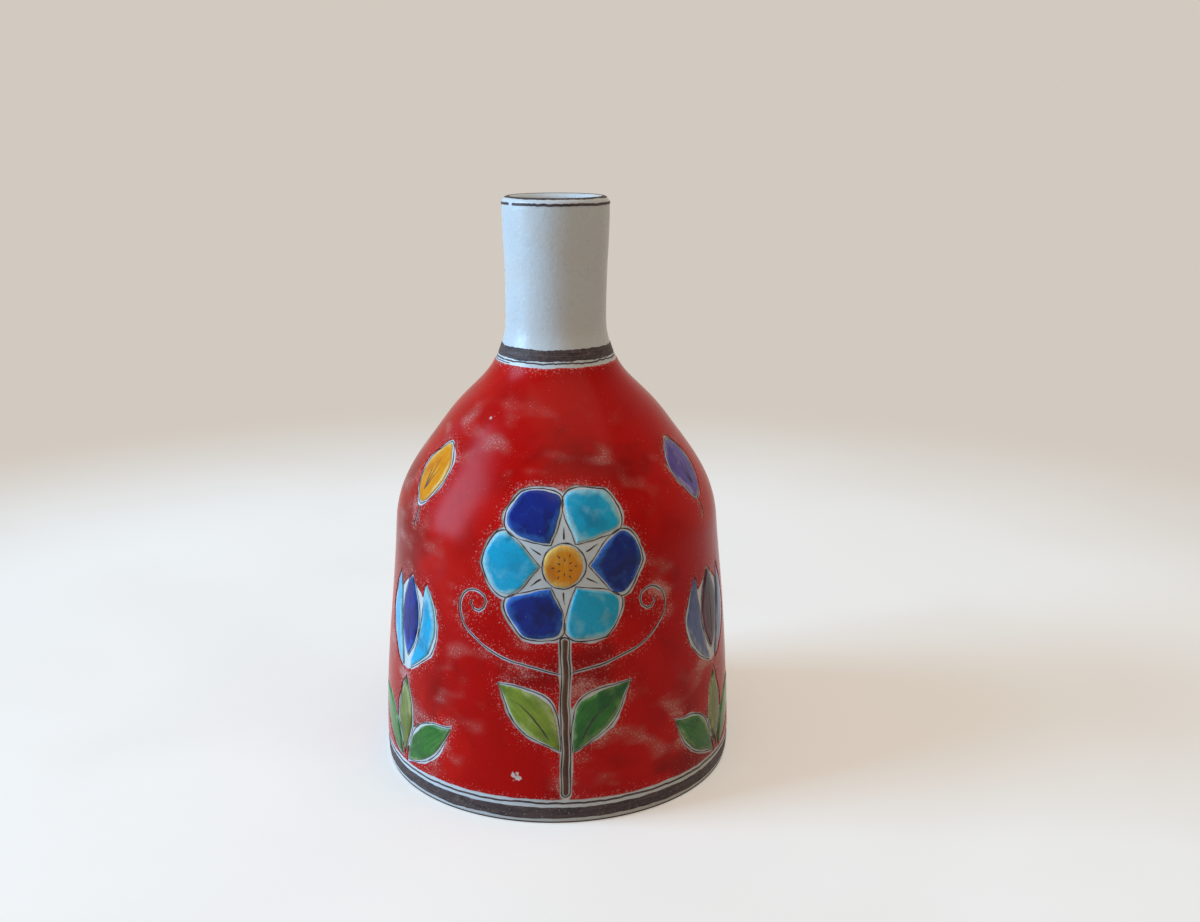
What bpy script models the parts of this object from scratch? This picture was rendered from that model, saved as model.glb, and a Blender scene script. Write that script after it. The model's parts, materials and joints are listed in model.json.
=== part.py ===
"""Painted bottle vase, thrown in clay and glazed in coats, in metres with +Z up.

One fired clay body carries everything. Each coat and each pool of coloured glaze is a solid of its
own, a small gap clear of what it lies on. The sizes below are in millimetres. The origin is the
middle of the foot, on the table.
"""

import math

import bpy
from mathutils import Vector
from mathutils.geometry import delaunay_2d_cdt, interpolate_bezier

MM = 0.001
SIDES = 36  # of every turned piece
PROFILE_PIECES = (3, 5, 5, 2)  # of the outside's curves: belly, shoulder, slope, neck

# The clay's outside: foot, belly, shoulder, slope, waist of the neck, lip.
FOOT_RADIUS = 61.8
FOOT_CHAMFER = 1.4
FOOT_SWELL = 0.75  # share of the chamfer's depth that is gone at its top
BELLY_HEIGHT = 8.0
SHOULDER_RADIUS = 56.7
SHOULDER_HEIGHT = 88.0
SLOPE_RADIUS = 38.5
SLOPE_HEIGHT = 124.3
SLOPE_LEAN = 35.5  # degrees off upright, half way down the slope
# How far each curve's two handles reach, as shares of its height.
BELLY_EASE = (1 / 3, 1 / 3)
SHOULDER_EASE = (0.4, 0.45)
SLOPE_EASE = (0.47, 0.6)
NECK_EASE = (1 / 2, 1 / 3)
WAIST_RADIUS = 17.3
WAIST_HEIGHT = 162.0
LIP_RADIUS = 18.4
LIP_HEIGHT = 203.8
LIP_ROUND = 1.7  # height of the lip's rounded top
LIP_PIECES = 5

# The clay's walls.
BODY_WALL = 5.0
NECK_WALL = 3.3
FLOOR = 8.0
FLOOR_FILLET = 6.0
FILLET_SAG = 0.3  # how near the corner the fillet's middle comes, as a share of its size
FOOT_RING = 6.5  # width of the bare ring that the vase stands on
FOOT_RECESS = 2.5

# The coats, counted outwards from the clay.
GAP = 0.3
WHITE = 0.5
COAT_GAP = 0.45  # white coat to the coloured glazes
COAT = 0.6
POOL = 0.8  # a pool of glaze stands prouder than the red round it
LIP_LINE = 0.4
HALO = 1.1  # white left bare round each pool
WINDOW_CLEAR = 2.0  # how far a cutter stands out of the red
WINDOW_REACH = 0.8  # how far it reaches into the gap under the red, as a share of the gap
WHITE_LIFT = GAP
COAT_LIFT = GAP + WHITE + COAT_GAP
THROAT_DEPTH = 7.0  # how far the outer white coat turns down inside the lip
THROAT_GAP = 0.8

# Heights of the turned coats, from the table and down from the waist.
WHITE_FOOT = 0.9
FOOT_BAND = (2.2, 5.9)
FOOT_LINE = (7.1, 7.7)
RED_FOOT = 8.5
RED_DROP = 16.0
NECK_LINE_DROP = (15.0, 14.4)
NECK_BAND_DROP = (13.7, 10.2)

# The painted plants. Heights are measured along the wall from the foot.
BLOOMS = {"a": -86.0, "b": 34.0, "c": 154.0}  # degrees round, -90 being the front
BUDS = {"a": -26.0, "b": 94.0, "c": -146.0}
ROOT = 10.2
BLOOM_HEIGHT = 88.0
PETALS = 6
PETAL_START = 8.6  # from the middle of the bloom
PETAL_LENGTH = 18.4
PETAL_GAP = 1.6
PETAL_FULL = 0.6  # where a petal is widest, as a share of its length
PETAL_TIP = 0.75  # how full the ends are, from 1 for pointed down to 0 for square
EYE_RADIUS = 6.8
STEM_WIDTH = 2.0
STEM_PASS = 0.85  # where the stem ends under the petals, as a share of their length
STEM_PIECES = 6
STEM_LEAF_HEIGHT = 26.0
STEM_LEAF_LENGTH = 29.0
STEM_LEAF_WIDTH = 12.5
STEM_LEAF_TURN = 42.0  # degrees off upright, as all turns below
STEM_LEAF_BEND = -2.5
BUD_HEIGHT = 44.0
BUD_LENGTH = 32.0
BUD_MIDDLE_START = 4.0
BUD_MIDDLE_WIDTH = 11.0
BUD_SIDE_WIDTH = 8.5
BUD_SIDE_START = 2.6
BUD_SIDE_TURN = 12.0  # degrees
BUD_SIDE_BEND = 5.4
BUD_TIP = 0.8
BUD_SPREAD = 1.6  # how many widths of a side petal the red is open for, beside the middle one
BUD_SPREAD_TIP = 0.6
FOOT_LEAF_LENGTH = 29.0
FOOT_LEAF_WIDTH = 11.0
FOOT_LEAF_TURN = 50.0  # degrees
FOOT_LEAF_BEND = -1.2
FOOT_LEAF_START = 2.2
MIDDLE_LEAF_START = 2.5
MIDDLE_LEAF_LENGTH = 27.0
MIDDLE_LEAF_WIDTH = 9.6
FRUIT_HEIGHT = 102.0
FRUIT_LENGTH = 22.0
FRUIT_WIDTH = 15.0
FRUIT_TIP = 0.65
LEAF_CLEAR = 1.6  # stem to the root of its leaf
ROUND_STEP = 7.5  # spacing of the points inside a pool, so that it follows the wall
UP_STEP = 4.5
OUTLINE_POINTS = 14
BLOOM_POINTS = 24

# Colour and roughness of each fired surface.
FINISHES = {
    "terracotta": ("#B9805A", 0.85),
    "white_glaze": ("#DCE3E6", 0.35),
    "red_glaze": ("#A81214", 0.12),
    "manganese_slip": ("#4A3C3A", 0.75),
    "turquoise_glaze": ("#2FB4DC", 0.12),
    "cobalt_glaze": ("#0A2C8C", 0.12),
    "teal_glaze": ("#0A8FAE", 0.12),
    "lime_glaze": ("#8FA63A", 0.15),
    "leaf_green_glaze": ("#2F7D34", 0.15),
    "olive_glaze": ("#6E7A2C", 0.2),
    "violet_glaze": ("#7563C8", 0.15),
    "orange_glaze": ("#F0A010", 0.15),
    "slate_blue_glaze": ("#7886B4", 0.2),
    "plum_glaze": ("#4A1D33", 0.15),
    "brown_glaze": ("#6B4632", 0.2),
}
BLOOM_COLOURS = {
    "a": ("turquoise_glaze", "cobalt_glaze", "orange_glaze"),
    "b": ("lime_glaze", "teal_glaze", "plum_glaze"),
    "c": ("slate_blue_glaze", "violet_glaze", "orange_glaze"),
}
BUD_COLOURS = {
    "a": ("slate_blue_glaze", "plum_glaze", "violet_glaze"),
    "b": ("orange_glaze", "brown_glaze", "turquoise_glaze"),
    "c": ("turquoise_glaze", "cobalt_glaze", "orange_glaze"),
}


def clear_scene():
    for item in list(bpy.data.objects):
        bpy.data.objects.remove(item)


def collection(name):
    made = bpy.data.collections.new(name)
    bpy.context.scene.collection.children.link(made)
    return made


def finish(name):
    """The material of that name, made once."""
    if name in bpy.data.materials:
        return bpy.data.materials[name]
    colour, roughness = FINISHES[name]
    material = bpy.data.materials.new(name)
    material.use_nodes = True
    shader = material.node_tree.nodes["Principled BSDF"]
    channels = [int(colour[k : k + 2], 16) / 255 for k in (1, 3, 5)]
    linear = [c / 12.92 if c <= 0.04045 else ((c + 0.055) / 1.055) ** 2.4 for c in channels]
    shader.inputs["Base Color"].default_value = (*linear, 1.0)
    shader.inputs["Roughness"].default_value = roughness
    return material


def mesh_object(name, points, edges, faces, place, material=None):
    """A mesh of points in millimetres. Without a material it is a cutter, which isn't rendered."""
    mesh = bpy.data.meshes.new(name)
    mesh.from_pydata([Vector(p) * MM for p in points], edges, faces)
    item = bpy.data.objects.new(name, mesh)
    place.objects.link(item)
    if material:
        mesh.materials.append(finish(material))
    else:
        item.hide_render = True
        item.display_type = "WIRE"
    return item


def thicken(item, thickness):
    shell = item.modifiers.new("thickness", "SOLIDIFY")
    shell.thickness = thickness * MM
    shell.offset = 1.0
    shell.use_even_offset = True


def turned(name, outline, material, closed=False):
    """An outline of (radius, height) turned about Z. It runs down its outer side."""
    points = [(radius, 0.0, height) for radius, height in outline]
    edges = [(k, k + 1) for k in range(len(points) - 1)]
    if closed:
        edges.append((len(points) - 1, 0))
    item = mesh_object(name, points, edges, [], PARTS, material)
    screw = item.modifiers.new("turn", "SCREW")
    screw.steps = screw.render_steps = SIDES
    screw.use_merge_vertices = True
    screw.merge_threshold = 0.01 * MM
    return item


def bezier(start, start_handle, end_handle, end, pieces):
    """Points of a curve from start up to, but not with, its end."""
    points = [Vector(p) for p in (start, start_handle, end_handle, end)]
    return [tuple(p) for p in interpolate_bezier(*points, pieces + 1)[:-1]]


def outside_wall():
    """The clay's outside as (radius, height), from the table up to where the lip starts to round."""
    shoulder = Vector((SHOULDER_RADIUS, SHOULDER_HEIGHT))
    slope = Vector((SLOPE_RADIUS, SLOPE_HEIGHT))
    waist = Vector((WAIST_RADIUS, WAIST_HEIGHT))
    lip = Vector((LIP_RADIUS, LIP_HEIGHT - LIP_ROUND))
    belly = Vector((FOOT_RADIUS, BELLY_HEIGHT))
    lean = math.radians(SLOPE_LEAN)
    along_slope = Vector((-math.sin(lean), math.cos(lean)))
    up = Vector((0.0, 1.0))
    body_up = (shoulder - belly).normalized()
    body_rise = SHOULDER_HEIGHT - BELLY_HEIGHT
    shoulder_rise = SLOPE_HEIGHT - SHOULDER_HEIGHT
    neck_rise = WAIST_HEIGHT - SLOPE_HEIGHT
    lip_rise = lip.y - WAIST_HEIGHT
    path = [
        (FOOT_RADIUS - FOOT_CHAMFER, 0.0),
        (FOOT_RADIUS - FOOT_CHAMFER * (1 - FOOT_SWELL), FOOT_CHAMFER),
    ]
    curves = (
        (belly, up, body_rise, BELLY_EASE, body_up, shoulder),
        (shoulder, body_up, shoulder_rise, SHOULDER_EASE, along_slope, slope),
        (slope, along_slope, neck_rise, SLOPE_EASE, up, waist),
        (waist, up, lip_rise, NECK_EASE, up, lip),
    )
    for (start, way_out, rise, ease, way_in, end), pieces in zip(curves, PROFILE_PIECES):
        handles = start + way_out * rise * ease[0], end - way_in * rise * ease[1]
        path += bezier(start, *handles, end, pieces)
    return path + [tuple(lip)]


def lip_top():
    """The rounded top of the lip, from outside to inside."""
    points = []
    for k in range(1, LIP_PIECES + 1):
        angle = math.pi * k / LIP_PIECES
        across = (1 - math.cos(angle)) / 2
        points.append((LIP_RADIUS - NECK_WALL * across, LIP_HEIGHT - LIP_ROUND * (1 - math.sin(angle))))
    return points


def inside_wall(wall):
    """The clay's inside, down from under the lip to the middle of the floor."""
    points = []
    for radius, height in reversed(wall[:-1]):
        share = (height - SHOULDER_HEIGHT) / (WAIST_HEIGHT - SHOULDER_HEIGHT)
        thickness = BODY_WALL + (NECK_WALL - BODY_WALL) * min(max(share, 0.0), 1.0)
        if height > FLOOR + FLOOR_FILLET:
            points.append((radius - thickness, height))
    side = FOOT_RADIUS - BODY_WALL
    sag = FLOOR_FILLET * FILLET_SAG
    corner = [(side, FLOOR + FLOOR_FILLET), (side - sag, FLOOR + sag), (side - FLOOR_FILLET, FLOOR)]
    return points + corner + [(0.0, FLOOR)]


def offset(path, distance):
    """The path moved to its right-hand side, which is outwards where it climbs the wall."""
    moved = []
    for k, here in enumerate(path):
        before = Vector(here) - Vector(path[max(k - 1, 0)])
        after = Vector(path[min(k + 1, len(path) - 1)]) - Vector(here)
        sides = [Vector((d.y, -d.x)).normalized() for d in (before, after) if d.length > 0.0]
        normal = sum(sides, Vector((0.0, 0.0))).normalized()
        moved.append(tuple(Vector(here) + normal * (distance / normal.dot(sides[0]))))
    return moved


def stretch(path, low, high):
    """The part of a rising path between two heights. Points right beside its ends are left out."""

    def at(height):
        for (r0, z0), (r1, z1) in zip(path, path[1:]):
            if z0 <= height <= z1:
                return (r0 + (r1 - r0) * (height - z0) / (z1 - z0), height)
        raise ValueError(f"no wall at {height} mm")

    near = GAP
    return [at(low)] + [p for p in path if low + near < p[1] < high - near] + [at(high)]


def coat(name, low, high, material):
    """A turned coat over the white one, between two heights of the outside wall."""
    item = turned(name, offset(stretch(WALL, low, high), COAT_LIFT)[::-1], material)
    thicken(item, COAT)
    return item


def wall_point(angle, along, lift):
    """The point `along` the outside wall from the table, `lift` off the clay."""
    for (r0, z0), (r1, z1) in zip(WALL, WALL[1:]):
        step = math.hypot(r1 - r0, z1 - z0)
        if along <= step:
            break
        along -= step
    radius = r0 + ((r1 - r0) * along + (z1 - z0) * lift) / step
    height = z0 + ((z1 - z0) * along - (r1 - r0) * lift) / step
    return Vector((radius * math.cos(angle), radius * math.sin(angle), height))


def turn_and_move(point, degrees, start):
    """A flat point turned clockwise, then moved."""
    angle = math.radians(degrees)
    x = point.x * math.cos(angle) + point.y * math.sin(angle)
    y = point.y * math.cos(angle) - point.x * math.sin(angle)
    return Vector((x + start[0], y + start[1]))


def blade(start, turn, length, width, bend=0.0, tip=1.0, full=0.5, grow=0.0):
    """The outline of a leaf or petal: from `start`, turned clockwise from straight up.

    `bend` bows its middle sideways, `tip` below 1 rounds its ends, `full` is where it is widest, and
    `grow` widens it all round.
    """
    skew = math.log(0.5) / math.log(full)
    half = OUTLINE_POINTS // 2
    outline = []
    for k in range(OUTLINE_POINTS):
        side = 1 if k < half else -1
        share = (1 - math.cos(math.pi * k / half)) / 2
        swell = math.sin(math.pi * share**skew) if k % half else 0.0
        across = side * (width / 2 + grow) * swell**tip + bend * swell
        outline.append(Vector((across, (length + 2 * grow) * share - grow)))
    return [turn_and_move(p, turn, start) for p in outline]


def disc(height, radius, points):
    turns = [math.tau * k / points for k in range(points)]
    return [Vector((radius * math.sin(t), height + radius * math.cos(t))) for t in turns]


def strip(width, low, high, grow):
    """An upright strip, with points enough to follow the wall."""
    side = width / 2 + grow
    rise = (high - low + 2 * grow) / STEM_PIECES
    heights = [low - grow + rise * k for k in range(STEM_PIECES + 1)]
    return [Vector((side, y)) for y in heights] + [Vector((-side, y)) for y in reversed(heights)]


def holds(outline, point):
    within = False
    for a, b in zip(outline, outline[1:] + outline[:1]):
        if (a.y > point.y) != (b.y > point.y):
            within ^= point.x < a.x + (b.x - a.x) * (point.y - a.y) / (b.y - a.y)
    return within


def points_within(outline):
    """A grid of points inside the outline, clear of its corners."""
    low = Vector((min(p.x for p in outline), min(p.y for p in outline)))
    size = Vector((max(p.x for p in outline), max(p.y for p in outline))) - low
    columns, rows = max(round(size.x / ROUND_STEP), 2), max(round(size.y / UP_STEP), 2)
    found = []
    for i in range(1, columns):
        for j in range(1, rows):
            point = low + Vector((size.x * i / columns, size.y * j / rows))
            if holds(outline, point) and min((point - p).length for p in outline) > UP_STEP / 2:
                found.append(point)
    return found


def wrapped(name, degrees, outline, lift, thickness, place, material=None):
    """A flat outline, x round the wall and y up it, laid on the wall and given a thickness."""
    count = len(outline)
    edges = [(k, (k + 1) % count) for k in range(count)]
    flat, _, faces, *_ = delaunay_2d_cdt(outline + points_within(outline), edges, [], 1, 1e-5)
    points = []
    for x, y in flat:
        angle = math.radians(degrees) + x / wall_point(0.0, y, COAT_LIFT).x
        points.append(wall_point(angle, y, lift))
    item = mesh_object(name, points, [], faces, place, material)
    if item.data.polygons[0].normal.dot(item.data.polygons[0].center) < 0:
        item.data.flip_normals()
    thicken(item, thickness)
    return item


def window(name, degrees, outline):
    """A cutter that opens the red over an outline."""
    below = COAT_GAP * WINDOW_REACH
    depth = below + COAT + WINDOW_CLEAR
    wrapped("window_" + name, degrees, outline, COAT_LIFT - below, depth, WINDOWS)


def pool(name, degrees, material, outline_of, cuts=True):
    """A pool of glaze in a window of the red, from a function of how far its outline grows."""
    wrapped(name, degrees, outline_of(0.0), COAT_LIFT, POOL, PARTS, material)
    if cuts:
        window(name, degrees, outline_of(HALO))


def clay_body():
    ring = FOOT_RADIUS - FOOT_CHAMFER - FOOT_RING
    recess = [(0.0, FOOT_RECESS), (ring - FOOT_RECESS, FOOT_RECESS), (ring, 0.0)]
    turned("clay_body", (recess + WALL + LIP + INSIDE)[::-1], "terracotta")


def white_coats():
    throat = (INSIDE[0][0], LIP_HEIGHT - THROAT_DEPTH)
    over = stretch(WALL, WHITE_FOOT, WALL[-1][1]) + LIP + [throat]
    thicken(turned("white_glaze", offset(over, WHITE_LIFT)[::-1], "white_glaze"), WHITE)
    top = (INSIDE[0][0], throat[1] - THROAT_GAP)
    down = [top] + [p for p in INSIDE if p[1] < top[1] - GAP]
    lining = offset(down, WHITE_LIFT)
    lining[-1] = (0.0, lining[-1][1])
    thicken(turned("lining_glaze", lining[::-1], "white_glaze"), WHITE)


def lip_line():
    """The painted line on the lip's outer corner, kept within the neck's own width."""
    edge = offset([WALL[-1]] + LIP[:2], WHITE_LIFT + WHITE + GAP)
    thicken(turned("lip_line", edge[::-1], "manganese_slip"), LIP_LINE)


def red_coat():
    red = coat("red_glaze", RED_FOOT, WAIST_HEIGHT - RED_DROP, "red_glaze")
    cut = red.modifiers.new("windows", "BOOLEAN")
    cut.operation = "DIFFERENCE"
    cut.solver = "EXACT"
    cut.operand_type = "COLLECTION"
    cut.collection = WINDOWS
    cut.use_self = True


def flowering_plant(letter, degrees):
    *petal_colours, eye_colour = BLOOM_COLOURS[letter]
    widest = PETAL_START + PETAL_LENGTH * PETAL_FULL
    half_turn = math.pi / PETALS
    width = 2 * widest * math.tan(half_turn) - PETAL_GAP / math.cos(half_turn)
    window("bloom_" + letter, degrees, disc(BLOOM_HEIGHT, widest, BLOOM_POINTS))
    for k in range(PETALS):
        turn = 360 / PETALS * (k + 0.5)
        start = turn_and_move(Vector((0, PETAL_START)), turn, (0, BLOOM_HEIGHT))
        pool(
            f"bloom_{letter}_petal_{k + 1}", degrees, petal_colours[k % 2],
            lambda grow: blade(
                start, turn, PETAL_LENGTH, width, tip=PETAL_TIP, full=PETAL_FULL, grow=grow,
            ),
        )  # fmt: skip
    pool(
        f"bloom_{letter}_eye", degrees, eye_colour,
        lambda grow: disc(BLOOM_HEIGHT, EYE_RADIUS, OUTLINE_POINTS), cuts=False,
    )  # fmt: skip
    stem_top = BLOOM_HEIGHT - PETAL_START - PETAL_LENGTH * STEM_PASS
    window("stem_top_" + letter, degrees, strip(STEM_WIDTH, stem_top - HALO, BLOOM_HEIGHT, HALO))
    pool(
        "stem_" + letter, degrees, "brown_glaze",
        lambda grow: strip(STEM_WIDTH, ROOT, stem_top, grow),
    )  # fmt: skip
    for side, word, colour in ((-1, "left", "lime_glaze"), (1, "right", "leaf_green_glaze")):
        start = (side * (STEM_WIDTH / 2 + LEAF_CLEAR), STEM_LEAF_HEIGHT)
        pool(
            f"stem_leaf_{letter}_{word}", degrees, colour,
            lambda grow: blade(
                start, side * STEM_LEAF_TURN, STEM_LEAF_LENGTH, STEM_LEAF_WIDTH,
                bend=side * STEM_LEAF_BEND, grow=grow,
            ),
        )  # fmt: skip


def bud_plant(letter, degrees):
    side_colour, middle_colour, fruit_colour = BUD_COLOURS[letter]
    whole_width = BUD_MIDDLE_WIDTH + BUD_SPREAD * BUD_SIDE_WIDTH
    whole = blade((0, BUD_HEIGHT - HALO), 0, BUD_LENGTH, whole_width, tip=BUD_SPREAD_TIP)
    window("bud_" + letter, degrees, whole)
    pool(
        f"bud_{letter}_middle", degrees, middle_colour,
        lambda grow: blade(
            (0, BUD_HEIGHT + BUD_MIDDLE_START), 0, BUD_LENGTH - BUD_MIDDLE_START, BUD_MIDDLE_WIDTH,
            tip=BUD_TIP, grow=grow,
        ),
    )  # fmt: skip
    for side, word in ((-1, "left"), (1, "right")):
        pool(
            f"bud_{letter}_{word}", degrees, side_colour,
            lambda grow: blade(
                (side * BUD_SIDE_START, BUD_HEIGHT), side * BUD_SIDE_TURN, BUD_LENGTH, BUD_SIDE_WIDTH,
                bend=side * BUD_SIDE_BEND, tip=BUD_TIP, grow=grow,
            ),
        )  # fmt: skip
        pool(
            f"foot_leaf_{letter}_{word}", degrees, "leaf_green_glaze",
            lambda grow: blade(
                (side * FOOT_LEAF_START, ROOT), side * FOOT_LEAF_TURN, FOOT_LEAF_LENGTH, FOOT_LEAF_WIDTH,
                bend=side * FOOT_LEAF_BEND, grow=grow,
            ),
        )  # fmt: skip
    leaf_foot = (0, ROOT + MIDDLE_LEAF_START)
    pool(
        f"foot_leaf_{letter}_middle", degrees, "olive_glaze",
        lambda grow: blade(leaf_foot, 0, MIDDLE_LEAF_LENGTH, MIDDLE_LEAF_WIDTH, grow=grow),
    )  # fmt: skip
    pool(
        f"fruit_{letter}", degrees, fruit_colour,
        lambda grow: blade(
            (0, FRUIT_HEIGHT), 0, FRUIT_LENGTH, FRUIT_WIDTH, tip=FRUIT_TIP, grow=grow,
        ),
    )  # fmt: skip


def shade_smooth(items):
    for item in items:
        item.data.shade_smooth()
        for modifier in item.modifiers:
            if modifier.type == "SCREW":
                modifier.use_smooth_shade = True


clear_scene()
PARTS = collection("painted_vase")
WINDOWS = collection("windows")
WALL = outside_wall()
LIP = lip_top()
INSIDE = inside_wall(WALL)

clay_body()
white_coats()
lip_line()
coat("neck_band", *(WAIST_HEIGHT - drop for drop in NECK_BAND_DROP), "manganese_slip")
coat("neck_line", *(WAIST_HEIGHT - drop for drop in NECK_LINE_DROP), "manganese_slip")
coat("foot_line", *FOOT_LINE, "manganese_slip")
coat("foot_band", *FOOT_BAND, "manganese_slip")
for letter, degrees in BLOOMS.items():
    flowering_plant(letter, degrees)
for letter, degrees in BUDS.items():
    bud_plant(letter, degrees)
red_coat()
shade_smooth(PARTS.objects)
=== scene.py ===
"""Dresses a thrown bottle vase: its glaze coats, its painted plants and a plain studio."""

import bisect
import dataclasses
import json
import math

import bmesh
import bpy
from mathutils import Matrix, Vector, kdtree, noise
from mathutils.geometry import interpolate_bezier

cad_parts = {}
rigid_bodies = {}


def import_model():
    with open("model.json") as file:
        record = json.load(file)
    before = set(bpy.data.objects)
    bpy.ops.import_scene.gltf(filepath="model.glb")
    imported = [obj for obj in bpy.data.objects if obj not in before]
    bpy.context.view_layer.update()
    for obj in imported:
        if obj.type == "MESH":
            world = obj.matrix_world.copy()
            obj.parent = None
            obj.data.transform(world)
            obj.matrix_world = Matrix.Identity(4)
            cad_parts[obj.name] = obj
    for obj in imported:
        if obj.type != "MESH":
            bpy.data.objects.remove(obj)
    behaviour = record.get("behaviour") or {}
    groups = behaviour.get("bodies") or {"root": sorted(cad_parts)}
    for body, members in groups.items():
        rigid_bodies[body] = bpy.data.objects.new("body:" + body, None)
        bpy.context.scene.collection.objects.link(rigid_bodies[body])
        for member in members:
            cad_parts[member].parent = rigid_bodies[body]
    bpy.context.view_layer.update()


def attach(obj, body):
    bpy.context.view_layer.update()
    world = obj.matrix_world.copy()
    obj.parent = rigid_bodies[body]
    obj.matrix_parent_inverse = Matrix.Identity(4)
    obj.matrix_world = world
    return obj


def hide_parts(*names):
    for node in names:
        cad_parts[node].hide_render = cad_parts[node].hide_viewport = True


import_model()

bl_info = {
    "name": "Painted Bottle Vase",
    "version": (1, 0, 0),
    "blender": (4, 5, 0),
    "location": "3D View > Sidebar > Vase",
    "description": "Builds the glaze coats, painted plants and studio of a thrown bottle vase",
    "category": "Add Mesh",
}

MM = 0.001
MIX_A, MIX_B = 6, 7  # a Mix node's two colours
# What these nodes are set to where a material says nothing else.
USUAL_SETTINGS = {
    "Mix": {"data_type": "RGBA"},
    "MapRange": {"interpolation_type": "SMOOTHSTEP"},
}

# The clay's outside in millimetres: foot, belly, shoulder, slope, waist of the neck, lip.
FOOT_RADIUS = 61.8
FOOT_CHAMFER = 1.4
FOOT_SWELL = 0.75
BELLY_HEIGHT = 8.0
SHOULDER_RADIUS = 56.7
SHOULDER_HEIGHT = 88.0
SLOPE_RADIUS = 38.5
SLOPE_HEIGHT = 124.3
SLOPE_LEAN = 35.5  # degrees off upright
WAIST_RADIUS = 17.3
WAIST_HEIGHT = 162.0
LIP_RADIUS = 18.4
LIP_HEIGHT = 203.8
LIP_ROUND = 1.7
# The handles of each stretch's curve, at its lower and its upper end, as shares of its rise.
BELLY_EASE = (1 / 3, 1 / 3)
SHOULDER_EASE = (0.4, 0.45)
SLOPE_EASE = (0.47, 0.6)
NECK_EASE = (1 / 2, 1 / 3)
PROFILE_PIECES = (50, 50, 40, 30)
LIP_PIECES = 24

# The clay's inside and its foot.
BODY_WALL = 5.0
NECK_WALL = 3.3
FLOOR = 8.0
FLOOR_FILLET = 6.0
FOOT_RING = 6.5
FOOT_RECESS = 2.5
THROAT_DEPTH = 7.0
LINING = 0.5
LINING_GAP = 0.3
LINING_TOP = 0.6  # how far up the throat's own glaze the lining laps
# The foot's lowest edge stands a little proud of the wall above it, as (radius, height).
FOOT_WALL = (
    (FOOT_RADIUS + 0.55, 0.0),
    (FOOT_RADIUS + 1.05, 0.2),
    (FOOT_RADIUS + 1.05, 0.5),
    (FOOT_RADIUS, 0.62),
)
FOOT_RING_EDGE = (0.7, 0.5)  # how far in and how high the ring's inner edge is rounded

# How far the finished outside stands off the clay, and how deep the white lies in it.
BODY_LIFT = 1.85
NECK_LIFT = 0.8
LIFT_CHANGE = (146.0, 158.0)
RELIEF = 0.4
RELIEF_END = (145.0, 154.0)
BAND_RELIEF = 0.35  # at the foot, as a share of the relief
FOOT_END = (5.0, 9.5)
COAT_LIFT = 1.25  # the lift at which the flat drawings are measured round the wall

# How far the throwing is out of true.
HAND_SWAY = 0.4
SWAY_ROUND = 0.9  # how slowly it changes round the vase
SWAY_RISE = 42.0  # and up it
SWAY_START = 14.0  # the height from which it has its full strength
SWAY_RADII = (8.0, 14.0)  # the middle of the floor is true up to the first, as the spin needs

# How the painting strays.
HAND_SEED = 11
HAND_STRAYS = ((9, 0.75, 0), (2.2, 0.16, 40))  # over how many millimetres, how far, its own seed
FRAY_WAVES = ((0.35, 0.9), (0.08, 0.6), (0.022, 0.45))  # part of a radian, share of the fray
FRAY_REACH = (0.6, 2.4)  # how far in from its edge a coat is moved fully, and how far at all

# The red coat and the windows that are cut in it.
RED_INSIDE = 1.0  # the lift of its inner side, within the white
CUTTER = (-0.9, 5.0)  # how deep in the white a cutter starts and how far out it ends
# How an edge strays besides the hand's straying: over how many millimetres, its own seed, and how
# far round a pool and round a drawn line. The first gives that in shares of the fray.
WINDOW_ROUGH = (1.1, 0, 0.6, 0.25)
WINDOW_LOOSE = (5.0, 20, 0.7, 0.2)
RIM = 3.5  # how far from its edges the red is marked as near one

# The coats' rows, and how deep in the white a coat ends.
MELT_ROWS = (0.0, 0.08, 0.22, 0.45, 0.7, 1.0)  # where the rounded edge of a coat has its rows
COAT_ROW = 2.0  # between the rows of the white and the red
LIP_ROWS = 16  # of the white, over the lip
LIP_CLEAR = 0.8  # between these and the rows of the wall
EDGE_SINK = 0.06  # at its edge
WORN_SINK = 0.1  # where it is worn away

noise.seed_set(HAND_SEED)  # or noise_vector starts from the clock

# Heights of the painted coats.
WHITE_FOOT = 0.75
FOOT_BAND = (2.1, 6.0)
FOOT_LINE = (7.0, 7.7)
RED_COAT = (8.6, 145.8)
NECK_LAP = (146.2, 146.55)  # where the brush ran on below the line's start
NECK_LINE = (146.9, 147.5)
NECK_BAND = (147.9, 152.2)
LIP_CORNER = (-0.04, 0.1)  # the lower of the lip's two lines, as shares of the way over the lip
LIP_CREST = (0.31, 0.54)
# Each ring of slip: where it lies, its fray as a share of the setting, its seed, how far its edges
# melt, how thick it lies, and where it is worn away, as an angle and a reach in radians.
BANDS = {
    "neck_band": (NECK_BAND, 1.0, 11.0, 0.45, 0.16),
    "foot_band": (FOOT_BAND, 1.0, 23.0, 0.45, 0.16),
    "neck_line": (NECK_LINE, 0.8, 31.0, 0.28, 0.1),
    "foot_line": (FOOT_LINE, 0.8, 43.0, 0.28, 0.1),
}
LAP = (NECK_LAP, 0.6, 67.0, 0.17, 0.1, (0.25, 2.65))
LIP_LINES = {
    "corner": (LIP_CORNER, 0.42, 57.0, 0.25, 0.14, (-2.5, 0.05)),
    "crest": (LIP_CREST, 0.42, 71.0, 0.25, 0.14),
}
BAND_ROW = 0.4  # between the rows of a ring
BAND_SINK = 0.3  # how deep in the white it starts
BAND_THIN = 0.12  # up to this thickness it is worn away here and there

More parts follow.
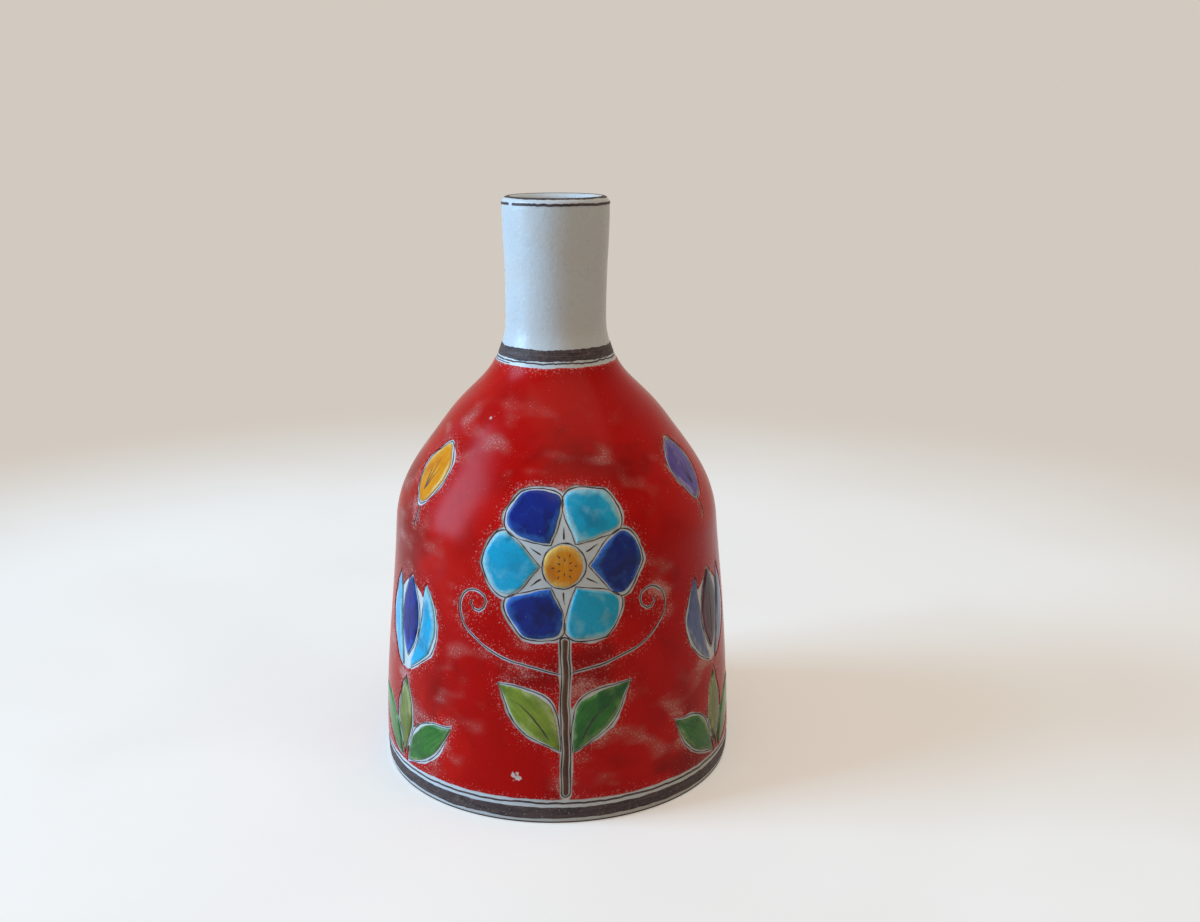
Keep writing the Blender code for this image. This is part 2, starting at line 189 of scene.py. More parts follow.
# The painted plants, in millimetres along the wall from the table.
BLOOMS = {"a": -86.0, "b": 34.0, "c": 154.0}  # degrees round, -90 being the front
BUDS = {"a": -26.0, "b": 94.0, "c": -146.0}
ROOT = 10.2
HALO = 1.1  # white left bare round each pool
WINDOW = 1.4  # how far outside a pool the red stops, before it strays
BLOOM_HEIGHT = 88.0
PETALS = 6
PETAL_START = 8.6
PETAL_LENGTH = 18.4
PETAL_GAP = 1.6
PETAL_FULL = 0.6
PETAL_TIP = 0.75
EYE_RADIUS = 6.8
STEM_WIDTH = 2.0
STEM_PASS = 0.85
STEM_LEAF_HEIGHT = 26.0
STEM_LEAF = {"length": 29.0, "width": 12.5, "bend": -2.5}  # as the one on the right bends
STEM_LEAF_TURN = 42.0  # degrees, as all turns
LEAF_CLEAR = 1.6
BUD_HEIGHT = 44.0
BUD_LENGTH = 32.0
BUD_MIDDLE_START = 4.0
BUD_MIDDLE_WIDTH = 11.0
BUD_TIP = 0.8
BUD_MIDDLE = {"length": BUD_LENGTH - BUD_MIDDLE_START, "width": BUD_MIDDLE_WIDTH, "tip": BUD_TIP}
BUD_SIDE = {"length": BUD_LENGTH, "width": 8.5, "bend": 5.4, "tip": BUD_TIP}
BUD_SIDE_START = 2.6
BUD_SIDE_TURN = 12.0
BUD_SPREAD = 1.6
BUD_SPREAD_TIP = 0.6
FOOT_LEAF = {"length": 29.0, "width": 11.0, "bend": -1.2}
FOOT_LEAF_TURN = 50.0
FOOT_LEAF_START = 2.2
MIDDLE_LEAF_START = 2.5
MIDDLE_LEAF = {"length": 27.0, "width": 9.6}
FRUIT_HEIGHT = 102.0
FRUIT = {"length": 22.0, "width": 15.0, "tip": 0.65}
TENDRIL_HEIGHT = 52.0
TENDRIL_TURN = 76.0
TENDRIL = {"length": 70.0, "width": 0.42, "curl": 8.4}  # curl in radians
TENDRIL_TIGHTENS = 3.8  # the power by which it winds up towards its end
TENDRIL_WINDOW = 0.42  # how far outside a drawn line the red stops
STROKE_TAPER = 0.75  # how much narrower a brush line is at its end than at its start
STROKE_FULLNESS = 0.35  # the power that makes its ends blunt
STROKE_LEAST = 0.004  # the least that it is wide to each side, so that its loops stay open

# The short brush lines on the plants.
STAMEN = {"length": 4.6, "width": 0.8}
STAMEN_START = EYE_RADIUS + 1.7
SEED = {"length": 1.3, "width": 0.6}
SEEDS = 12
SEED_STARTS = (1.7, 3.2)  # every other seed lies further out
MIDRIB = {"length": 19.0, "width": 0.75, "bend": STEM_LEAF["bend"] * 0.8}
MIDRIB_START = 4.5
STALK = {"length": 6.2, "width": 0.9, "bend": 0.8}
STALK_HEIGHT = FRUIT_HEIGHT - 7.5
RIB_WIDTH = 0.7
# Each rib of a fruit and of a bud: its length, the height of its foot, and its turn.
RIBS = (
    (9.0, FRUIT_HEIGHT + 4.2, -16.0),
    (12.0, FRUIT_HEIGHT + 4.2, 0.0),
    (9.0, FRUIT_HEIGHT + 4.2, 16.0),
    (15.0, BUD_HEIGHT + BUD_MIDDLE_START + 5, 0.0),
)

# A pool's section: its rows as shares of the way in, how far in it rounds up, how thick its edge
# is, as a share of its height, and how far in the glaze counts as deep.
POOL_ROWS = (0.03, 0.09, 0.18, 0.3, 0.46, 0.64, 0.82)
POOL_ROUND = 1.1
POOL_EDGE = 0.12
POOL_DEEP = 3.2
POOL_SHORT = 0.1  # how far short of its drawn outline it is filled, as a share
# The sections of a drawn outline and of a short brush line.
LINE_SINK = -0.15  # how deep in what it lies on a line starts
LINE_TOP = 0.07
LINE_WAVE = 2.5  # over how many millimetres its width varies, and by what share
LINE_VARIES = 0.9
LINE_SEED = 5.0
STROKE_SET = 0.03  # how far into the top of a pool the lines on it are set
STROKE_RINGS = [(0.0, LINE_SINK), (-0.02, 0.05), (-0.12, 0.08)]

OUTLINE_POINTS = 64
TURN_STEPS = 224
TUBE = 100.0  # radius of the straight tube that a coat is spun as before it is laid on the vase

BLOOM_GLAZES = {
    "a": ("turquoise_glaze", "cobalt_glaze", "orange_glaze"),
    "b": ("lime_glaze", "teal_glaze", "plum_glaze"),
    "c": ("slate_blue_glaze", "violet_glaze", "orange_glaze"),
}
BUD_GLAZES = {
    "a": ("slate_blue_glaze", "plum_glaze", "violet_glaze"),
    "b": ("orange_glaze", "brown_glaze", "turquoise_glaze"),
    "c": ("turquoise_glaze", "cobalt_glaze", "orange_glaze"),
}
# Each pooled glaze: where it lies full, where it runs thin over the white, where it gathers dark,
# how much of the brush shows in it, and how dark it is at the tips of a leaf.
POOLED = {
    "turquoise_glaze": ("#12BCEE", "#A4E6F6", "#0A84B2", 0.15, 0.0),
    "cobalt_glaze": ("#0A2C98", "#3479DC", "#060F44", 0.25, 0.0),
    "teal_glaze": ("#0A8FAF", "#6ACFDF", "#06566C", 0.35, 0.0),
    "lime_glaze": ("#94AC3A", "#C9D78C", "#5F7C1E", 0.4, 0.7),
    "leaf_green_glaze": ("#3F8A34", "#97BE78", "#155428", 0.5, 0.55),
    "olive_glaze": ("#80892E", "#BDC486", "#3C5C2C", 0.5, 0.75),
    "violet_glaze": ("#7462CC", "#BFB4EC", "#4A3A9A", 0.4, 0.0),
    "orange_glaze": ("#F29C0A", "#FAD068", "#CC6C06", 0.3, 0.0),
    "slate_blue_glaze": ("#7082BA", "#B7C1DF", "#526292", 0.7, 0.0),
    "plum_glaze": ("#4C1B36", "#8E5C74", "#280C1C", 0.4, 0.2),
    "brown_glaze": ("#6C442E", "#A88466", "#3E2415", 0.7, 0.3),
}

# The studio, in metres: each lamp's place, size and colour, and the camera.
LAMPS = {
    "window": ((-2.0, -0.36, 0.9), (1.0, 1.7), "#ACD9FF"),
    "ceiling": ((0.3, -0.5, 2.4), (2.4, 2.4), "#FFEAD0"),
}
LAMPS_AIM = (0.0, 0.0, 0.09)
SKY_COLOUR = "#FFEEDB"
CAMERA_PLACE = (0.0158, -0.4652, 0.2316)
CAMERA_PITCH = 9.67  # degrees below level
CAMERA_LENS = 39.21
CAMERA_SHIFT = -0.10
FLOOR_FADE = (0.3, 0.6)  # how far from the vase the floor starts and ends to fade to the backdrop
FLOOR_GLOW = 0.31  # makes the floor as pale as paper without more light on the vase
FLOOR_BOUNCE = "#CCB9A2"  # the floor's colour in the light that it throws on the vase

FRONT_CHIP = (-0.0113, -0.0615, 0.017)  # where the red glaze has chipped, in metres
# Layers of patches over a body colour: size in mm, detail, where the patch starts and is full in
# the noise, strength, colour.
RED_PATCHES = (
    (46, 3.0, 0.47, 0.6, 0.8, "#D4120A"),
    (34, 3.0, 0.53, 0.7, 0.7, "#860101"),
    (13, 3.0, 0.5, 0.74, 0.3, "#980604"),
    (22, 2.0, 0.58, 0.78, 0.22, "#BC3A48"),
)
WHITE_PATCHES = (
    (20, 3.0, 0.42, 0.7, 0.5, "#D2DBE2"),
    (30, 2.0, 0.54, 0.76, 0.4, "#E0DACF"),
    (0.8, 3.0, 0.58, 0.74, 0.3, "#A2A5A8"),
)
SLIP_PATCHES = (
    (2.4, 3.0, 0.5, 0.75, 0.45, "#6B5953"),
    (0.6, 2.0, 0.63, 0.73, 0.65, "#B5A79C"),
)
FLOOR_PATCHES = ((160, 2.0, 0.4, 0.7, 1.0, "#EFECE7"),)
CLAY_PATCHES = (
    (12, 4.0, 0.35, 0.7, 1.0, "#A26B48"),
    (5, 3.0, 0.58, 0.75, 0.5, "#7C5238"),
)


def clamp(value):
    return min(max(value, 0.0), 1.0)


def eased(low, high, value):
    share = clamp((value - low) / (high - low))
    return share * share * (3 - 2 * share)


# The vase's outside as a path, and how to lay a drawing on it


def outside_path():
    """Points up the clay's outside from the table, over the lip and down the throat."""
    shoulder = Vector((SHOULDER_RADIUS, SHOULDER_HEIGHT))
    slope = Vector((SLOPE_RADIUS, SLOPE_HEIGHT))
    waist = Vector((WAIST_RADIUS, WAIST_HEIGHT))
    lip = Vector((LIP_RADIUS, LIP_HEIGHT - LIP_ROUND))
    belly = Vector((FOOT_RADIUS, BELLY_HEIGHT))
    lean = math.radians(SLOPE_LEAN)
    along_slope = Vector((-math.sin(lean), math.cos(lean)))
    up = Vector((0.0, 1.0))
    body_up = (shoulder - belly).normalized()
    curves = (
        (belly, up, SHOULDER_HEIGHT - BELLY_HEIGHT, BELLY_EASE, body_up, shoulder),
        (shoulder, body_up, SLOPE_HEIGHT - SHOULDER_HEIGHT, SHOULDER_EASE, along_slope, slope),
        (slope, along_slope, WAIST_HEIGHT - SLOPE_HEIGHT, SLOPE_EASE, up, waist),
        (waist, up, lip.y - WAIST_HEIGHT, NECK_EASE, up, lip),
    )
    path = [
        Vector((FOOT_RADIUS - FOOT_CHAMFER, 0.0)),
        Vector((FOOT_RADIUS - FOOT_CHAMFER * (1 - FOOT_SWELL), FOOT_CHAMFER)),
    ]
    for (start, way_out, rise, ease, way_in, end), pieces in zip(curves, PROFILE_PIECES):
        first, last = start + way_out * rise * ease[0], end - way_in * rise * ease[1]
        path += [Vector(p).to_2d() for p in interpolate_bezier(start, first, last, end, pieces + 1)[:-1]]
    path.append(lip)
    for k in range(1, LIP_PIECES + 1):
        angle = math.pi * k / LIP_PIECES
        across = NECK_WALL * (1 - math.cos(angle)) / 2
        path.append(Vector((LIP_RADIUS - across, LIP_HEIGHT - LIP_ROUND * (1 - math.sin(angle)))))
    path.append(Vector((LIP_RADIUS - NECK_WALL, LIP_HEIGHT - THROAT_DEPTH)))
    return path


def path_normals(path):
    """The direction off the clay at each point of the path."""
    normals = []
    for k in range(len(path)):
        way = (path[min(k + 1, len(path) - 1)] - path[max(k - 1, 0)]).normalized()
        normals.append(Vector((way.y, -way.x)))
    return normals


def path_reach(path):
    """How far along the path each of its points lies."""
    reach = [0.0]
    for a, b in zip(path, path[1:]):
        reach.append(reach[-1] + (b - a).length)
    return reach


PATH = outside_path()
NORMALS = path_normals(PATH)
REACH = path_reach(PATH)
WALL_POINTS = 2 + sum(PROFILE_PIECES)  # those before the lip starts to round
LIP_START = REACH[WALL_POINTS]
LIP_END = REACH[WALL_POINTS + LIP_PIECES]


def lip_place(share):
    """The place on the path that is a share of the way over the lip."""
    return LIP_START + (LIP_END - LIP_START) * share


def off_clay(along, lift):
    """(radius, height) of the point `along` the path, `lift` off the clay."""
    k = min(max(bisect.bisect_right(REACH, along) - 1, 0), len(PATH) - 2)
    share = (along - REACH[k]) / (REACH[k + 1] - REACH[k])
    return PATH[k].lerp(PATH[k + 1], share) + NORMALS[k].lerp(NORMALS[k + 1], clamp(share)) * lift


def along_at(height):
    """How far along the path the outside wall reaches a height."""
    for k in range(WALL_POINTS):
        low, high = PATH[k].y, PATH[k + 1].y
        if low <= height <= high:
            return REACH[k] + (REACH[k + 1] - REACH[k]) * (height - low) / (high - low)
    raise ValueError(f"the outside wall has no height of {height} mm")


def skin_lift(along):
    """Lift of the finished outside: the glaze lies thick on the body and thin on the neck."""
    height = off_clay(along, 0.0).y
    return BODY_LIFT + (NECK_LIFT - BODY_LIFT) * eased(*LIFT_CHANGE, height)


def ground_lift(along):
    """Lift of the white coat, sunk below the skin where the colours lie over it."""
    height = off_clay(along, 0.0).y
    foot = BAND_RELIEF + (1 - BAND_RELIEF) * eased(*FOOT_END, height)
    return skin_lift(along) - RELIEF * foot * (1 - eased(*RELIEF_END, height))


def sway(angle, height):
    """How far the thrower's hands left the wall out of true."""
    spot = Vector((math.cos(angle) * SWAY_ROUND, math.sin(angle) * SWAY_ROUND, height / SWAY_RISE))
    return HAND_SWAY * noise.noise(spot) * eased(0.0, SWAY_START, height)


def on_vase(angle, along, lift):
    """The point on the vase, in metres."""
    radius, height = off_clay(along, lift)
    radius += sway(angle, height)
    return Vector((radius * math.cos(angle), radius * math.sin(angle), height)) * MM


def on_wall(spot, plant, height):
    """A spot of the flat drawing round a plant, `height` off the white ground, in metres."""
    angle = math.radians(plant) + spot.x / off_clay(spot.y, COAT_LIFT).x
    return on_vase(angle, spot.y, ground_lift(spot.y) + height)


def strayed(spot, seed, strays):
    """How far a drawn spot strays from the even drawing, by a table such as HAND_STRAYS."""
    total = Vector((0.0, 0.0))
    for wave, far, own in strays:
        total += noise.noise_vector(Vector((spot.x / wave, spot.y / wave, seed + own))).to_2d() * far
    return total


def inside_path(top, every, turns):
    """(radius, height) down the clay's inside from below `top`, and round the fillet to its floor.

    `every` thins out the wall's points, and `turns` are shares of the way round the fillet.
    """
    points = []
    for point in reversed(PATH[:WALL_POINTS:every]):
        share = clamp((point.y - SHOULDER_HEIGHT) / (WAIST_HEIGHT - SHOULDER_HEIGHT))
        if FLOOR + FLOOR_FILLET < point.y < top:
            points.append((point.x - BODY_WALL - (NECK_WALL - BODY_WALL) * share, point.y))
    for share in turns:
        turn = math.pi / 2 * share
        radius = FOOT_RADIUS - BODY_WALL - FLOOR_FILLET * (1 - math.cos(turn))
        points.append((radius, FLOOR + FLOOR_FILLET * (1 - math.sin(turn))))
    return points + [(0.0, FLOOR)]


# Flat outlines of what is painted


def turned_flat(point, degrees, start):
    """A flat point turned clockwise, then moved."""
    angle = math.radians(degrees)
    x = point[0] * math.cos(angle) + point[1] * math.sin(angle)
    y = point[1] * math.cos(angle) - point[0] * math.sin(angle)
    return Vector((x + start[0], y + start[1]))


def blade(grow, length, width, bend=0.0, tip=1.0, full=0.5):
    """The outline of an upright leaf or petal, which starts at the origin."""
    skew = math.log(0.5) / math.log(full)
    half = OUTLINE_POINTS // 2
    outline = []
    for k in range(OUTLINE_POINTS):
        side = 1 if k < half else -1
        share = (1 - math.cos(math.pi * k / half)) / 2
        swell = math.sin(math.pi * share**skew) if k % half else 0.0
        across = side * (width / 2 + grow) * swell**tip + bend * swell
        outline.append(Vector((across, (length + 2 * grow) * share - grow)))
    return outline


def disc(grow, radius):
    """The outline of a circle about the origin."""
    turns = [math.tau * k / OUTLINE_POINTS for k in range(OUTLINE_POINTS)]
    return [Vector(((radius + grow) * math.sin(t), (radius + grow) * math.cos(t))) for t in turns]


def strip(grow, length, width):
    """An upright strip with round ends, which starts at the origin."""
    side = width / 2 + grow
    half = OUTLINE_POINTS // 2
    quarter = half // 4
    outline = []
    for k in range(half):
        if k < quarter:
            turn = math.pi / 2 * (k + 0.5) / quarter
            outline.append(Vector((side * math.sin(turn), width / 2 - side * math.cos(turn))))
        elif k < half - quarter:
            share = (k - quarter + 0.5) / (half - 2 * quarter)
            outline.append(Vector((side, width / 2 + (length - width) * share)))
        else:
            turn = math.pi / 2 * (k - half + quarter + 0.5) / quarter
            outline.append(Vector((side * math.cos(turn), length - width / 2 + side * math.sin(turn))))
    return outline + [Vector((-p.x, p.y)) for p in reversed(outline)]


def stroke(grow, length, width, bend=0.0):
    """The outline of one tapering brush line, which starts at the origin."""
    half = OUTLINE_POINTS // 2
    outline = []
    for k in range(OUTLINE_POINTS):
        side = 1 if k < half else -1
        share = k / half if k < half else 2 - k / half
        middle = bend * math.sin(math.pi * share)
        swell = math.sin(math.pi * share) ** STROKE_FULLNESS if k % half else 0.0
        across = max((width / 2) * (1 - share * STROKE_TAPER) * swell + grow, STROKE_LEAST)
        outline.append(Vector((middle + side * across, (length + 2 * grow) * share - grow)))
    return outline


def tendril(grow, length, width, curl):
    """The outline of a line that starts upright at the origin and winds into a spiral."""
    half = OUTLINE_POINTS // 2
    fine = 8
    middle, ways = [Vector((0.0, 0.0))], [Vector((0.0, 1.0))]
    here = Vector((0.0, 0.0))
    for k in range(half * fine):
        heading = -curl * ((k + 0.5) / (half * fine)) ** TENDRIL_TIGHTENS
        way = Vector((math.sin(heading), math.cos(heading)))
        here = here + way * length / (half * fine)
        if (k + 1) % fine == 0:
            middle.append(here)
            ways.append(way)
    outline = []
    for k in range(OUTLINE_POINTS):
        at = min(k, OUTLINE_POINTS - k)
        side = 1 if k < half else -1
        across = Vector((ways[at].y, -ways[at].x)) * side * (width / 2 + grow)
        if at == 0 or at == half:
            across = ways[at] * (grow if at else -grow)
        outline.append(middle[at] + across)
    return outline


PETAL_WIDEST = PETAL_START + PETAL_LENGTH * PETAL_FULL
PETAL_WIDTH = 2 * PETAL_WIDEST * math.tan(math.pi / PETALS) - PETAL_GAP / math.cos(math.pi / PETALS)
PETAL = {"length": PETAL_LENGTH, "width": PETAL_WIDTH, "tip": PETAL_TIP, "full": PETAL_FULL}
STEM_TOP = BLOOM_HEIGHT - PETAL_START - PETAL_LENGTH * STEM_PASS
STEM = {"length": STEM_TOP - ROOT, "width": STEM_WIDTH}
STEM_LEAF_START = (STEM_WIDTH / 2 + LEAF_CLEAR, STEM_LEAF_HEIGHT)
SIDES = ((-1, "left"), (1, "right"))


@dataclasses.dataclass
class Drawn:
    """One painted shape: what it is called, its outline, and where it lies on the wall."""

    name: str
    outline: object  # one of the functions above
    sizes: dict
    plant: float  # degrees round the vase
    start: tuple
    turn: float
    glaze: str = ""
    flip: bool = False  # the outline's left and right change places

    def at(self, grow):
        return self.outline(grow, **self.sizes)

    def thin(self):
        return self.outline in (tendril, stroke)


def mirrored(name, outline, sizes, plant, start, turn, glazes=("", "")):
    """A shape on the left of a plant's middle and its mirror image on the right."""
    drawn = []
    for (side, word), glaze in zip(SIDES, glazes):
        bent = dict(sizes, bend=side * sizes["bend"])
        place = (side * start[0], start[1])
        drawn.append(Drawn(f"{name}_{word}", outline, bent, plant, place, side * turn, glaze))
    return drawn


def bloom_pools(letter):
    plant = BLOOMS[letter]
    odd, even, eye = BLOOM_GLAZES[letter]
    middle = (0.0, BLOOM_HEIGHT)
    drawn = []
    for k in range(PETALS):
        turn = 360 / PETALS * (k + 0.5)
        start = turned_flat((0.0, PETAL_START), turn, middle)
        glaze = (odd, even)[k % 2]
        drawn.append(Drawn(f"bloom_{letter}_petal_{k + 1}", blade, PETAL, plant, start, turn, glaze))
    drawn.append(Drawn(f"bloom_{letter}_eye", disc, {"radius": EYE_RADIUS}, plant, middle, 0.0, eye))
    return drawn


def stem_pools(letter):
    plant = BLOOMS[letter]
    glazes = ("lime_glaze", "leaf_green_glaze")
    stem = Drawn(f"stem_{letter}", strip, STEM, plant, (0.0, ROOT), 0.0, "brown_glaze")
    name = f"stem_leaf_{letter}"
    return [stem] + mirrored(name, blade, STEM_LEAF, plant, STEM_LEAF_START, STEM_LEAF_TURN, glazes)


def bud_pools(letter):
    plant = BUDS[letter]
    side, middle, _ = BUD_GLAZES[letter]
    start = (0.0, BUD_HEIGHT + BUD_MIDDLE_START)
    drawn = [Drawn(f"bud_{letter}_middle", blade, BUD_MIDDLE, plant, start, 0.0, middle)]
    start = (BUD_SIDE_START, BUD_HEIGHT)
    return drawn + mirrored(f"bud_{letter}", blade, BUD_SIDE, plant, start, BUD_SIDE_TURN, (side, side))


def foot_leaf_pools(letter):
    plant = BUDS[letter]
    name = f"foot_leaf_{letter}"
    start = (0.0, ROOT + MIDDLE_LEAF_START)
    drawn = [Drawn(f"{name}_middle", blade, MIDDLE_LEAF, plant, start, 0.0, "olive_glaze")]
    glazes = ("leaf_green_glaze", "leaf_green_glaze")
    start = (FOOT_LEAF_START, ROOT)
    return drawn + mirrored(name, blade, FOOT_LEAF, plant, start, FOOT_LEAF_TURN, glazes)


def fruit_pools(letter):
    glaze = BUD_GLAZES[letter][2]
    return [Drawn(f"fruit_{letter}", blade, FRUIT, BUDS[letter], (0.0, FRUIT_HEIGHT), 0.0, glaze)]


def all_pools():
    """Every pool of glaze by its plant, in the order in which they are painted."""
    plants = {}
    for letter in BLOOMS:
        plants["bloom_" + letter] = bloom_pools(letter) + stem_pools(letter)
    for letter in BUDS:
        plants["bud_" + letter] = bud_pools(letter) + foot_leaf_pools(letter) + fruit_pools(letter)
    return plants


def tendrils(letter):
    """The two lines that wind out of a stem."""
    drawn = []
    for side, word in SIDES:
        start = (side * STEM_WIDTH / 2, TENDRIL_HEIGHT)
        turn = side * TENDRIL_TURN
        name = f"tendril_{letter}_{word}"
        drawn.append(Drawn(name, tendril, TENDRIL, BLOOMS[letter], start, turn, flip=side < 0))
    return drawn


def drawn_details():
    """Brush lines by plant, each list for the white ground and then for the top of the pools."""
    plants = {}
    for letter, plant in BLOOMS.items():
        middle = (0.0, BLOOM_HEIGHT)
        ground = tendrils(letter)
        for k in range(PETALS):
            turn = 360 / PETALS * k
            start = turned_flat((0.0, STAMEN_START), turn, middle)
            ground.append(Drawn("stamen", stroke, STAMEN, plant, start, turn))
        top = []
        for k in range(SEEDS):
            turn = 360 / SEEDS * k
            start = turned_flat((0.0, SEED_STARTS[k % 2]), turn, middle)
            top.append(Drawn("seed", stroke, SEED, plant, start, turn))
        start = turned_flat((0.0, MIDRIB_START), STEM_LEAF_TURN, STEM_LEAF_START)
        top += mirrored("midrib", stroke, MIDRIB, plant, start, STEM_LEAF_TURN)
        plants["bloom_" + letter] = (ground, top)
    for letter, plant in BUDS.items():
        top = []
        for length, height, turn in RIBS:
            sizes = {"length": length, "width": RIB_WIDTH}
            top.append(Drawn("rib", stroke, sizes, plant, (0.0, height), turn))
        stalk = Drawn("stalk", stroke, STALK, plant, (0.0, STALK_HEIGHT), 0.0)
        plants["bud_" + letter] = ([stalk], top)
    return plants


def open_places():
    """What the red is left off besides the pools' own halos: round the blossoms' and buds' middles."""
    drawn = [line for letter in BLOOMS for line in tendrils(letter)]
    drawn += [ground[0] for name, (ground, _) in drawn_details().items() if name.startswith("bud")]
    for letter, plant in BLOOMS.items():
        middle = (0.0, BLOOM_HEIGHT)
        drawn.append(Drawn("round_" + letter, disc, {"radius": PETAL_WIDEST - HALO}, plant, middle, 0.0))
        sizes = {"length": BLOOM_HEIGHT - STEM_TOP, "width": STEM_WIDTH}
        drawn.append(Drawn("join_" + letter, strip, sizes, plant, (0.0, STEM_TOP), 0.0))
    for letter, plant in BUDS.items():
        width = BUD_MIDDLE_WIDTH + BUD_SPREAD * BUD_SIDE["width"] - 2 * HALO
        sizes = {"length": BUD_LENGTH - 2 * HALO, "width": width, "tip": BUD_SPREAD_TIP}
        drawn.append(Drawn("hull_" + letter, blade, sizes, plant, (0.0, BUD_HEIGHT), 0.0))
    return drawn


# Modelling by hand


def clear_selection():
    active = bpy.context.view_layer.objects.active
    if active and active.mode != "OBJECT":
        bpy.ops.object.mode_set(mode="OBJECT")
    bpy.ops.object.select_all(action="DESELECT")


def loop_of_points(name, points):
    """A new object of one closed loop through the points, in edit mode with all of it selected."""
    clear_selection()
    bpy.ops.mesh.primitive_circle_add(vertices=len(points), radius=1.0, fill_type="NOTHING")
    item = bpy.context.object
    item.name = item.data.name = name
    for vertex, point in zip(item.data.vertices, points):
        vertex.co = point
    bpy.ops.object.mode_set(mode="EDIT")
    bpy.ops.mesh.select_mode(type="VERT")
    bpy.ops.mesh.select_all(action="SELECT")
    return item


def face_out(item):
    """Back to object mode, with doubles merged and faces pointing out."""
    bpy.ops.mesh.select_all(action="SELECT")
    bpy.ops.mesh.remove_doubles(threshold=1e-6)
    bpy.ops.mesh.normals_make_consistent(inside=False)
    bpy.ops.object.mode_set(mode="OBJECT")
    return item


def smooth(item, degrees=50):
    clear_selection()
    item.select_set(True)
    bpy.context.view_layer.objects.active = item
    bpy.ops.object.shade_smooth_by_angle(angle=math.radians(degrees))


def spun(name, section):
    """A closed outline of (radius, height) in millimetres, spun about the vase's axis."""
    item = loop_of_points(name, [Vector((radius, 0.0, height)) for radius, height in section])
    mesh = bmesh.from_edit_mesh(item.data)
    for edge in mesh.edges:
        edge.select = all(abs(v.co.x) < 1e-6 for v in edge.verts)
    mesh.select_flush_mode()
    if any(edge.select for edge in mesh.edges):
        bpy.ops.mesh.select_mode(type="EDGE")
        bpy.ops.mesh.delete(type="EDGE_FACE")
        bpy.ops.mesh.select_mode(type="VERT")
    bpy.ops.mesh.select_all(action="SELECT")
    bpy.ops.mesh.spin(steps=TURN_STEPS, angle=math.tau, center=(0, 0, 0), axis=(0, 0, 1))
    return face_out(item)


def coat_section(low, high, top, bottom, row, melt):
    """Section of a coat between two places on the path, as (tube radius, place).

    `top` and `bottom` give its outer and inner lift, and `row` is the distance between its rows. The
    outer side melts down to the white over `melt` at both ends, and the inner has fewer rows.
    """
    rows = max(round((high - low - 2 * melt) / row), 2)
    ends = [melt * share for share in MELT_ROWS]
    inner_step = 4 if rows > 12 else 1
    places = [low + d for d in ends]
    places += [low + melt + (high - low - 2 * melt) * k / rows for k in range(1, rows)]
    places += [high - d for d in reversed(ends)]
    outer = []
    for place in places:
        share = clamp(min(place - low, high - place) / melt)
        ground = ground_lift(place) - EDGE_SINK
        outer.append((TUBE + ground + (top(place) - ground) * math.sqrt(1 - (1 - share) ** 2), place))
    inner = [(TUBE + bottom(place), place) for place in places[:: -inner_step]]
    return outer[::-1] + inner[::-1]


def lay_tube(item, shift=None, thin=None):
    """Lays a coat that was spun as a straight tube on the vase.

    `shift` moves a place by its angle, for ragged edges, and `thin` wears the coat away to nothing.
    """
    for vertex in item.data.vertices:
        angle = math.atan2(vertex.co.y, vertex.co.x)
        lift = math.hypot(vertex.co.x, vertex.co.y) - TUBE
        along = vertex.co.z
        if thin:
            ground = ground_lift(along) - WORN_SINK
            lift = min(lift, ground + (lift - ground) * thin(angle, along))
        if shift:
            along += shift(angle, along)
        vertex.co = on_vase(angle, along, lift)


def around(angle, wave, seed):
    """Noise round the vase that meets itself, with features of about `wave` of a radian."""
    return noise.noise(Vector((math.cos(angle) / wave, math.sin(angle) / wave, seed)))


def ragged(low, high, size, seed):
    """A shift that frays both edges of a coat by up to `size`."""

    def shift(angle, along):
        full, end = FRAY_REACH
        near_low = 1 - eased(low + full, low + end, along)
        near_high = eased(high - end, high - full, along)
        frayed = 0.0
        for wave, share in FRAY_WAVES:
            frayed += share * near_low * around(angle, wave, seed)
            frayed += share * near_high * around(angle, wave, seed + 7)
        return size * frayed

    return shift


def pull_loop(item, old, new, height):
    """Moves the selected loop from the points `old` to the points `new`, at a height."""
    mesh = bmesh.from_edit_mesh(item.data)
    for vertex in mesh.verts:
        if vertex.select:
            here = vertex.co.xy
            k = min(range(len(old)), key=lambda i: (here - old[i]).length_squared)
            vertex.co = (*new[k], height)
    bmesh.update_edit_mesh(item.data)


def ringed(name, outline_at, rings, hollow=False):
    """A flat shape of loops within each other, from (grow, height) of each.

    A hollow one is a raised line, and the other kind a filled pool.
    """
    here = outline_at(rings[0][0])
    item = loop_of_points(name, [(*p, rings[0][1]) for p in here])
    for grow, height in rings[1:]:
        bpy.ops.mesh.extrude_region_move()
        there = outline_at(grow)
        pull_loop(item, here, there, height)
        here = there
    if hollow:
        bpy.ops.mesh.select_non_manifold(extend=False)
        bpy.ops.mesh.bridge_edge_loops()
    else:
        bpy.ops.mesh.fill()
        bpy.ops.mesh.select_all(action="DESELECT")
        bpy.ops.mesh.select_non_manifold(extend=False)
        bpy.ops.mesh.fill()
    return face_out(item)


def distance_to(point, outline):
    """How far a flat point lies from the nearest edge of an outline."""
    least = 1e9
    for a, b in zip(outline, outline[1:] + outline[:1]):
        side = b - a
        share = clamp((point - a).dot(side) / max(side.length_squared, 1e-12))
        least = min(least, (point - a - side * share).length_squared)
    return math.sqrt(least)


